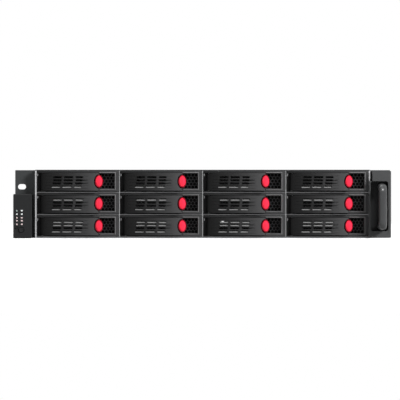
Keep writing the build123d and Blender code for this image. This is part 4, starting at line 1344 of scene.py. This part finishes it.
piece("module_box", module_form(), MODULE_PLASTIC_AND_SHADE, "chassis", "control_module")
white_marks = gathered(mark_form((1,), 0), mark_form((0, 1), 1))
pink_marks = gathered(mark_form((2, 3, 4), 0), mark_form((2, 3, 4), 1))
piece("module_white_marks", white_marks, MARK_WHITE, "chassis", slot="grey_button")
piece("module_teal_mark", mark_form((0,), 0), MARK_TEAL, "chassis", slot="grey_button")
piece("module_pink_marks", pink_marks, MARK_PINK, "chassis", slot="grey_button")


def push_button(name, x, z, radius):
    """A turned button with a dished face."""
    low, high = mm_box(name)
    length = high.y - low.y
    shape = ((0.35, 0.05), (0.2, 0.6), (0, 0.82), (0.25, 1.0), (length, 1.0))
    profile = [(along, share * radius) for along, share in shape]
    form = turned(profile, Vector((x, low.y, z)), BACK, 28)
    piece(f"{name}_cap", form, MODULE_PLASTIC_AND_SHADE, name, name, smooth=40)


for name, (x, z, radius) in CONTROL_BUTTONS.items():
    push_button(name, x, z, radius)

# %% [markdown]
# ## Handle
# The right ear carries a moulded housing with a deep recess, and a grip stands in it. The grip is
# a bar of round section bent into a U: a loft of ovals along a path of straight legs and round
# bends, which gives the soft highlight at its upper bend.

# %% Handle
GRIP_X = 229.4
GRIP_BACK, GRIP_FRONT = -4.0, -38.0
GRIP_LOW, GRIP_HIGH = 10.5, 69.9
GRIP_DEPTH, GRIP_WIDTH = 9.4, 10.5
GRIP_BEND = 9.0
GRIP_SIDES = 28
GRIP_FULLNESS = 0.8
HANDLE_RECESS = (WALL + 0.1, 237.1, 9.5, 72.9)
LINING_FRONT, LINING_BACK = -4.4, -4.02


def grip_path():
    """Points (y, z, lean) along the middle of the bar: out, round a bend, up, round, and back."""
    half = GRIP_DEPTH / 2
    front = GRIP_FRONT + half
    low, high = GRIP_LOW + half, GRIP_HIGH - half
    bend = GRIP_BEND - half / 2
    steps = 10
    path = [(GRIP_BACK, low, 0.0), (front + bend + 4, low, 0.0)]
    for i in range(steps + 1):
        a = math.radians(90 * i / steps)
        path.append((front + bend - bend * math.sin(a), low + bend - bend * math.cos(a), a))
    path.append((front, (low + high) / 2, math.radians(90)))
    for i in range(steps + 1):
        a = math.radians(90 * i / steps)
        y = front + bend - bend * math.cos(a)
        path.append((y, high - bend + bend * math.sin(a), a + math.radians(90)))
    path += [(front + bend + 4, high, math.radians(180)), (GRIP_BACK, high, math.radians(180))]
    return path


def grip_form():
    """The bar: rounded sections set square to the path."""
    rings = []
    for y, z, lean in grip_path():
        normal = Vector((0, -math.sin(lean), -math.cos(lean)))
        ring = []
        for i in range(GRIP_SIDES):
            a = 2 * math.pi * i / GRIP_SIDES
            c, s = math.cos(a), math.sin(a)
            across = math.copysign(abs(c) ** GRIP_FULLNESS, c) * GRIP_WIDTH / 2
            deep = math.copysign(abs(s) ** GRIP_FULLNESS, s) * GRIP_DEPTH / 2
            ring.append(Vector((GRIP_X + across, y, z)) - normal * deep)
        rings.append(ring)
    return lofted(rings)


eased_node("handle_shell", "handle_housing", EAR_PLASTIC, "chassis", 0.5)
recess_slot = slot_outline(*RACK_SLOTS["right_ear"][1:], SLOT_LENGTH, SLOT_WIDTH)
# A dark lining on the recess floor: painted shade in the handle recess.
recess_shade_lining = front_sheet([rounded(*HANDLE_RECESS, 2.8), recess_slot], LINING_FRONT, LINING_BACK, 0.1)
piece("handle_recess_floor", recess_shade_lining, MODULE_PLASTIC_AND_SHADE, "chassis", slot="ear_plastic")
grip_bar = piece("grip_bar", grip_form(), GRIP_PLASTIC, "chassis", "handle_grip", smooth=50)
glint_pieces.objects.link(grip_bar)

# %% [markdown]
# ## Covers
# The top is two flat sheets, and the rear one slides back on its hooks. A sheet cover is never just
# flat: it has pressed grooves, finger dishes and sunk screws. Two thin sheets make that simply, a
# whole one below and one with openings above, and the openings become shallow recesses.

# %% Covers
COVER_SINK = 0.35
WELL_RADIUS = 3.5
HOOK_OUTER, HOOK_FOOT, HOOK_LENGTH, HOOK_LOW = 202.4, 4.0, 18.0, 84.4
HOOK_PLACES = (262.0, 412.0, 562.0)
TAB_PLACES = (-150.0, 100.0)
TAB_WIDTH, TAB_LOW = 14.0, 76.0
THUMB_LEVEL, THUMB_RADIUS = 81.6, 4.9
KNURL_POINTS = 48


def recessed_cover(outline, recesses):
    """A cover whose upper face has shallow recesses of the given outlines."""
    lower = plan_sheet([outline], COVER_LOW, COVER_LOW + COVER_SINK, 0.05)
    upper = plan_sheet([outline] + recesses, COVER_LOW + COVER_SINK - 0.02, COVER_HIGH, 0.25)
    return gathered(lower, upper)


def cover_hooks():
    """The hooks that run under the side walls' rims."""
    inner, toe, top = HOOK_OUTER - 1, HOOK_OUTER + HOOK_FOOT, COVER_LOW + 0.1
    shape = (
        (HOOK_OUTER, top), (inner, top), (inner, HOOK_LOW),
        (toe, HOOK_LOW), (toe, HOOK_LOW + 1), (HOOK_OUTER, HOOK_LOW + 1),
    )
    parts = []
    for side in (-1, 1):
        outline = [(side * x, z) for x, z in shape]
        parts += [front_sheet([outline], place, place + HOOK_LENGTH, 0.15) for place in HOOK_PLACES]
    return gathered(*parts)


def cover_tabs():
    """The two tabs that hang over the rear wall."""
    half = TAB_WIDTH / 2
    shapes = [rounded(x - half, x + half, TAB_LOW, COVER_HIGH, 1.5) for x in TAB_PLACES]
    return gathered(*[front_sheet([shape], REAR - 0.1, REAR + 1, 0.2) for shape in shapes])


def thumbscrew(x):
    """A knurled head on a short collar, with a cross recess in its end."""
    steps = [(0, 3.8), (1.2, 3.8), (1.3, 2.6), (2.2, 2.6)]
    collar = turned(steps, Vector((x, REAR + 1, THUMB_LEVEL)), BACK, 20)
    rings = []
    for along, radius in ((3.0, 4.3), (3.4, THUMB_RADIUS), (8.2, THUMB_RADIUS), (8.6, 4.4)):
        ring = []
        for i in range(KNURL_POINTS):
            reach = radius * (1 - 0.08 * (i % 2))
            angle = 2 * math.pi * i / KNURL_POINTS
            side, rise = reach * math.cos(angle), reach * math.sin(angle)
            ring.append(Vector((x + side, REAR + along, THUMB_LEVEL + rise)))
        rings.append(ring)
    cross = [(x + dx, THUMB_LEVEL + dz) for dx, dz in cross_outline(2.5, 1.0)]
    end = front_sheet([oval(x, THUMB_LEVEL, 8.2, 8.2, 24), cross], REAR + 8.5, REAR + 9.3, 0.2)
    return gathered(collar, lofted(rings), end)


well_places = [(x, y) for x in (-206.0, 206.0) for y in (24.0, 92.0, 160.0)]
well_places += [(x, 172.0) for x in (-107.0, 0.0, 107.0)]
wells = [oval(x, y, 2 * WELL_RADIUS, 2 * WELL_RADIUS, 24) for x, y in well_places]
front_grooves = [rounded(-190, 190, y, y + 6, 2.9) for y in (30, 120)]
piece(
    "front_cover_sheet", recessed_cover(square(-WALL, WALL, FRONT, COVER_JOIN), wells + front_grooves),
    ZINC, "chassis", "front_cover",
)
sunk_head = pan_head(2.8, 0.5)
piece(
    "front_cover_screws",
    screws([((x, y, COVER_LOW + COVER_SINK), (0, 0, 1)) for x, y in well_places], sunk_head),
    NICKEL, "chassis", slot="zinc_steel",
)
edge_trim = front_sheet([square(-WALL, WALL, 86.9, 87.95)], FRONT - 0.2, FRONT + 0.05, 0.05)
piece("front_cover_edge", edge_trim, BLACK_PAINT, "chassis", slot="black_paint")
rear_grooves = [rounded(x, x + 7, 225, 530, 3.4) for x in (-165, -58.5, 51.5, 158)]
dishes = [oval(x, 588, 62, 24, 40) for x in (-110, 110)]
rear_plate = recessed_cover(square(-WALL, WALL, COVER_SPLIT, REAR), rear_grooves + dishes)
piece("top_cover_sheet", gathered(rear_plate, cover_hooks(), cover_tabs()), ZINC, "top_cover", "top_cover")
piece("thumbscrews", gathered(*[thumbscrew(x) for x in TAB_PLACES]), NICKEL, "top_cover", slot="zinc_steel")
print("covers made, wells", len(well_places))

# %% [markdown]
# ## Pan and rivets
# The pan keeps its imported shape, floor, stand-offs and walls, with eased edges. Rivets hold the
# cage, the fan wall and the rear wall to it: low domes in rows on both sides. Small lanced rings
# stand at the left wall's front edge, one beside the top of each tray.

# %% Pan and rivets
RIVET_RADIUS, RIVET_HEIGHT = 2.3, 0.9
RING_X = -213.9


def dome_rivet():
    """A low domed head seen along +Z, ready for the screw tree."""
    shoulder = [(0, RIVET_RADIUS), (0.35, 0.95 * RIVET_RADIUS), (0.7, 0.66 * RIVET_RADIUS)]
    return fastener_object("dome_rivet", turned(shoulder + [(RIVET_HEIGHT, 0.2)], Vector((0, 0, 0)), UP, 14))


eased_node("pan_sheet", "base_pan", ZINC, "chassis", 0.15)
rivet = dome_rivet()
rivet_places = [
    ((side * WALL, y, z), (side, 0, 0))
    for side in (-1, 1) for y in (62, 118, 170, 219, 246, 340, 500, 560, 628) for z in (9, 74)
]
piece("wall_rivets", screws(rivet_places, rivet), ZINC, "chassis", slot="zinc_steel", smooth=60)
rings = []
for row in ROWS:
    level = BAYS[f"r{row}c1"].z + 9.0
    outline = [oval(RING_X, level, 2.4, 3.6, 16), oval(RING_X, level, 1.0, 1.9, 10)]
    rings.append(front_sheet(outline, FRONT - 0.8, FRONT + 0.1, 0.15))
piece("wall_rings", gathered(*rings), EDGE_ZINC, "chassis", slot="zinc_steel")
cut_edges = [
    front_sheet([square(left, left + 1.9, low, COVER_LOW - 0.1)], FRONT - 0.2, FRONT + 0.05, 0.05)
    for left, low in ((-214.95, 0.3), (213.05, 73.3))
]
piece("wall_cut_edges", gathered(*cut_edges), EDGE_ZINC, "chassis", slot="zinc_steel")

# %% [markdown]
# ## Rear wall
# The rear wall is one sheet with many openings: the board's, seven slot windows and a row of
# pointed vents. Chamfering a face with so many holes warps it, so it is drawn from outlines. The
# blanks behind the slot windows are plates with a pressed rib, lofted from rounded outlines.

# %% Rear wall
BLANK_HALF = 9.2
BLANK_PITCH = 20.32
BLANK_COUNT = 7
BOARD_LEFT, BOARD_RIGHT, BOARD_LOW, BOARD_HIGH = -27.0, 131.75, 8.0, 52.45
SUPPLY_EDGE, SUPPLY_TOP = 139.7, 83.2
WINDOW_HALF, WINDOW_LOW, WINDOW_HIGH = 6.5, 14.0, 72.0
SLIT_COUNT, SLIT_HALF, SLIT_POINT = 14, 2.5, 1.4
SLIT_LOW, SLIT_HIGH = 56.5, 75.0
RIM_HALF, RIM_DEPTH = 203.0, 12.0


def blank_plates():
    """The slot blanks, each with its pressed rib."""
    low, high = mm_box("slot_covers")
    parts = []
    centres = [low.x + BLANK_HALF + BLANK_PITCH * i for i in range(BLANK_COUNT)]
    for x in centres:
        plate = rounded(x - BLANK_HALF, x + BLANK_HALF, low.z, high.z, 1.0)
        parts.append(front_sheet([plate], low.y, high.y, 0.15))
        rib = []
        for y, inset in ((high.y - 0.1, 0.0), (high.y + 0.5, 0.5), (high.y + 0.8, 1.2)):
            shape = rounded(x - 3.6 + inset, x + 3.6 - inset, 21 + inset, 65 - inset, 3.5 - inset)
            rib.append([Vector((px, y, pz)) for px, pz in shape])
        parts.append(lofted(rib))
    return gathered(*parts), centres


def rear_sheet(centres):
    """The wall with the board's opening, the slot windows and the vents, and its top rim."""
    low, high = 1.0, COVER_LOW - 1
    side = WALL - 1
    outline = [(-side, low), (SUPPLY_EDGE, low), (SUPPLY_EDGE, SUPPLY_TOP), (side, SUPPLY_TOP)]
    outline += [(side, high), (-side, high)]
    holes = [square(BOARD_LEFT, BOARD_RIGHT, BOARD_LOW, BOARD_HIGH)]
    holes += [rounded(x - WINDOW_HALF, x + WINDOW_HALF, WINDOW_LOW, WINDOW_HIGH, 0.8) for x in centres]
    step = (BOARD_RIGHT - BOARD_LEFT) / SLIT_COUNT
    for i in range(SLIT_COUNT):
        x = BOARD_LEFT + step * (i + 0.5)
        edge = x + SLIT_HALF
        right = [(x, SLIT_LOW), (edge, SLIT_LOW + SLIT_POINT), (edge, SLIT_HIGH - SLIT_POINT)]
        left = [(2 * x - px, SLIT_LOW + SLIT_HIGH - pz) for px, pz in right]
        holes.append(right + left)
    wall = front_sheet([outline] + holes, REAR - 1, REAR, 0.15)
    rim = plan_sheet([square(-RIM_HALF, RIM_HALF, REAR - RIM_DEPTH, REAR)], high, COVER_LOW, 0.12)
    return gathered(wall, rim)


blank_form, blank_centres = blank_plates()
piece("rear_wall", rear_sheet(blank_centres), ZINC, "chassis", "rear_panel")
piece("slot_blanks", blank_form, SUPPLY_STEEL, "chassis", "slot_covers")
rear_spots = [(x, 79.0) for x in blank_centres]
rear_spots += [(x, z) for x in (-205.0, -182.0, 135.7) for z in (9.0, 70.0)]
rear_spots += [(x, 4.6) for x in (-120.0, -20.0, 52.0)]
rear_head = pan_head(2.4, 1.0)
piece(
    "rear_wall_screws", screws([((x, REAR, z), (0, 1, 0)) for x, z in rear_spots], rear_head, seed=4),
    NICKEL, "chassis", slot="zinc_steel",
)

# %% [markdown]
# ## Power supplies
# Each supply shows its rear end: a honeycomb for its fan, a pull handle, a green latch and the
# mains inlet, a black moulding with three blades. The honeycomb lies over a black backing, because
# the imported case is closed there.

# %% Power supplies
INLET_X, INLET_HALF_WIDTH, INLET_HALF_HEIGHT = 197.1, 13.5, 10.0
INLET_BACK = 622.0
VENT_LEFT, VENT_RIGHT, VENT_HALF = 149.6, 182.4, 17.4
VENT_PITCH, VENT_HOLE = 4.1, 1.8
LENS_PROFILE = ((0, 1.5), (0.4, 1.45), (0.8, 1.0), (0.95, 0.2))


def inlet(middle):
    """The inlet's moulding: a rim with a keyed opening, and its floor."""
    key = [(-11.5, -8), (11.5, -8), (11.5, 4), (7.5, 8), (-7.5, 8), (-11.5, 4)]
    opening = [(INLET_X + dx, middle + dz) for dx, dz in key]
    outer = rounded(*about(INLET_X, middle, INLET_HALF_WIDTH - 0.1, INLET_HALF_HEIGHT - 0.1), 2.9)
    lip = rounded(*about(INLET_X, middle, INLET_HALF_WIDTH + 0.8, INLET_HALF_HEIGHT + 0.8), 3.4)
    rim = front_sheet([outer, opening], INLET_BACK + 0.3, REAR + 0.6, 0.2)
    flange = front_sheet([lip, opening], REAR, REAR + 1.0, 0.3)
    floor = front_sheet([outer], INLET_BACK + 0.02, INLET_BACK + 0.5, 0.05)
    return gathered(rim, flange, floor)


def blades(middle):
    """Three flat contact blades."""
    spots = ((-7.0, -2.5), (7.0, -2.5), (0.0, 2.0))
    shapes = [rounded(*about(INLET_X + dx, middle + dz, 1, 2), 0.5) for dx, dz in spots]
    return gathered(*[front_sheet([shape], INLET_BACK + 0.4, REAR - 4, 0.3) for shape in shapes])


for number in (1, 2):
    supply = f"power_supply_{number}"
    low, high = mm_box(supply)
    middle = (low.z + high.z) / 2
    eased_node(f"supply_case_{number}", supply, SUPPLY_STEEL, supply, 0.3)
    vent = (VENT_LEFT, VENT_RIGHT, middle - VENT_HALF, middle + VENT_HALF)
    backing = front_sheet([square(*vent)], REAR + 0.01, REAR + 0.2, 0.05)
    piece(f"supply_vent_backing_{number}", backing, BLACK_AND_PAINTED_SHADE, supply, slot="black_paint")
    comb = perforated(*vent, REAR + 0.2, REAR + 0.9, VENT_PITCH, VENT_HOLE, CAGE_ZINC)
    piece(f"supply_vent_{number}", comb, CAGE_ZINC, supply, slot="zinc_steel")
    piece(f"supply_inlet_{number}", inlet(middle), BLACK_AND_PAINTED_SHADE, supply, slot="black_paint")
    piece(f"supply_blades_{number}", blades(middle), NICKEL, supply, slot="zinc_steel")
    case_spots = [((x, REAR, middle + 15.4), (0, 1, 0)) for x in (187.5, 206.5)]
    case_screws = screws(case_spots, rear_head, seed=number)
    piece(f"supply_screws_{number}", case_screws, NICKEL, supply, slot="zinc_steel")
    lens = turned(LENS_PROFILE, Vector((INLET_X, REAR, middle - 15.2)), BACK, 16)
    piece(f"supply_light_{number}", lens, LATCH_GREEN, supply, slot="latch_green", smooth=60)
    eased_node(f"latch_tab_{number}", f"supply_latch_{number}", LATCH_GREEN, f"supply_latch_{number}", 0.3)
eased_node("supply_guide", "supply_cage", ZINC, "chassis", 0.12)

# %% [markdown]
# ## Inside
# Through the openings the fans and boards show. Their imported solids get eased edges, the boards
# are lacquered green, and the connectors, which only differ by their size, are black mouldings.

# %% Inside
FAN_BACK = 253.0
FAN_LEVEL = 42.0
FAN_SPACING = 134.0
FAN_SCREW = 35.75


def is_connector(low, high):
    """True for a drive connector among the boards' solids."""
    return high.z - low.z < 8


eased_node("fan_bulkhead", "fan_wall", CAGE_ZINC, "chassis", 0.15)
eased_node("fan_ducts", "fan_frames", FAN_PLASTIC, "chassis", 0.3)
fan_spots = [
    ((i * FAN_SPACING + dx, FAN_BACK, FAN_LEVEL + dz), (0, 1, 0))
    for i in (-1, 0, 1) for dx in (-FAN_SCREW, FAN_SCREW) for dz in (-FAN_SCREW, FAN_SCREW)
]
piece("fan_screws", screws(fan_spots, head_small, seed=7), NICKEL, "chassis", slot="zinc_steel")
eased_node(
    "boards", "circuit_boards", BOARD_GREEN, "chassis", 0.1, lambda low, high: not is_connector(low, high)
)
eased_node("drive_connectors", "circuit_boards", BLACK_AND_PAINTED_SHADE, "chassis", 0.2, is_connector, replaces=False,
           slot="black_paint")

# %% [markdown]
# ## Floor
# The floor looks white and keeps a soft shadow near the object. To bounced light it is a middle
# grey, as if dark cards lay beside the object, so that black mouldings stay black. Far from the
# object it glows like the air, so no horizon shows.

# %% Floor
FLOOR_REACH = 12.0
SHADOW_REACH = 1.1
FAR_REACH = 2.0


def floor_material():
    """White to the eye, shaded near the object, grey to bounced light."""
    material = bpy.data.materials.new("pale_floor")
    material.use_nodes = True
    tree = material.node_tree
    tree.nodes.clear()
    lit = tree.nodes.new("ShaderNodeBsdfDiffuse")
    lit.inputs["Color"].default_value = (0.5, 0.5, 0.5, 1)
    glow = tree.nodes.new("ShaderNodeEmission")
    glow.inputs["Strength"].default_value = 0.62
    near = tree.nodes.new("ShaderNodeAddShader")
    tree.links.new(lit.outputs["BSDF"], near.inputs[0])
    tree.links.new(glow.outputs["Emission"], near.inputs[1])
    white = tree.nodes.new("ShaderNodeEmission")
    length = tree.nodes.new("ShaderNodeVectorMath")
    length.operation = "LENGTH"
    tree.links.new(object_place(tree), length.inputs[0])
    fade = tree.nodes.new("ShaderNodeMapRange")
    fade.inputs["From Min"].default_value = SHADOW_REACH
    fade.inputs["From Max"].default_value = FAR_REACH
    tree.links.new(length.outputs["Value"], fade.inputs["Value"])
    seen = tree.nodes.new("ShaderNodeMixShader")
    tree.links.new(fade.outputs["Result"], seen.inputs["Fac"])
    tree.links.new(near.outputs["Shader"], seen.inputs[1])
    tree.links.new(white.outputs["Emission"], seen.inputs[2])
    bounced = tree.nodes.new("ShaderNodeBsdfDiffuse")
    bounced.inputs["Color"].default_value = (0.3, 0.3, 0.3, 1)
    out = tree.nodes.new("ShaderNodeOutputMaterial")
    shader = white_to_eye(tree, bounced.outputs["BSDF"], seen.outputs["Shader"])
    tree.links.new(shader, out.inputs["Surface"])
    return material


floor_bm = bmesh.new()
bmesh.ops.create_grid(floor_bm, x_segments=1, y_segments=1, size=FLOOR_REACH)
floor_mesh = bpy.data.meshes.new("pale_floor")
floor_bm.to_mesh(floor_mesh)
floor_bm.free()
floor = bpy.data.objects.new("pale_floor", floor_mesh)
floor_mesh.materials.append(floor_material())
bpy.context.collection.objects.link(floor)
floor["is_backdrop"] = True

# %% [markdown]
# ## Finishes for the nodes that stay
# A node whose shape is right as packed only needs its finish: the record names a material slot for
# each, and the table above says which finish stands for which slot.

# %% Dress the kept nodes
node_slots = {entry["node"]: entry["material_slot"] for entry in frame["record"]["subparts"]}
for name, node in frame["nodes"].items():
    node.data.materials.clear()
    node.data.materials.append(NODE_FINISH[node_slots[name]])
print("kept nodes dressed", len(frame["nodes"]))

# %% Finish
low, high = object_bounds()
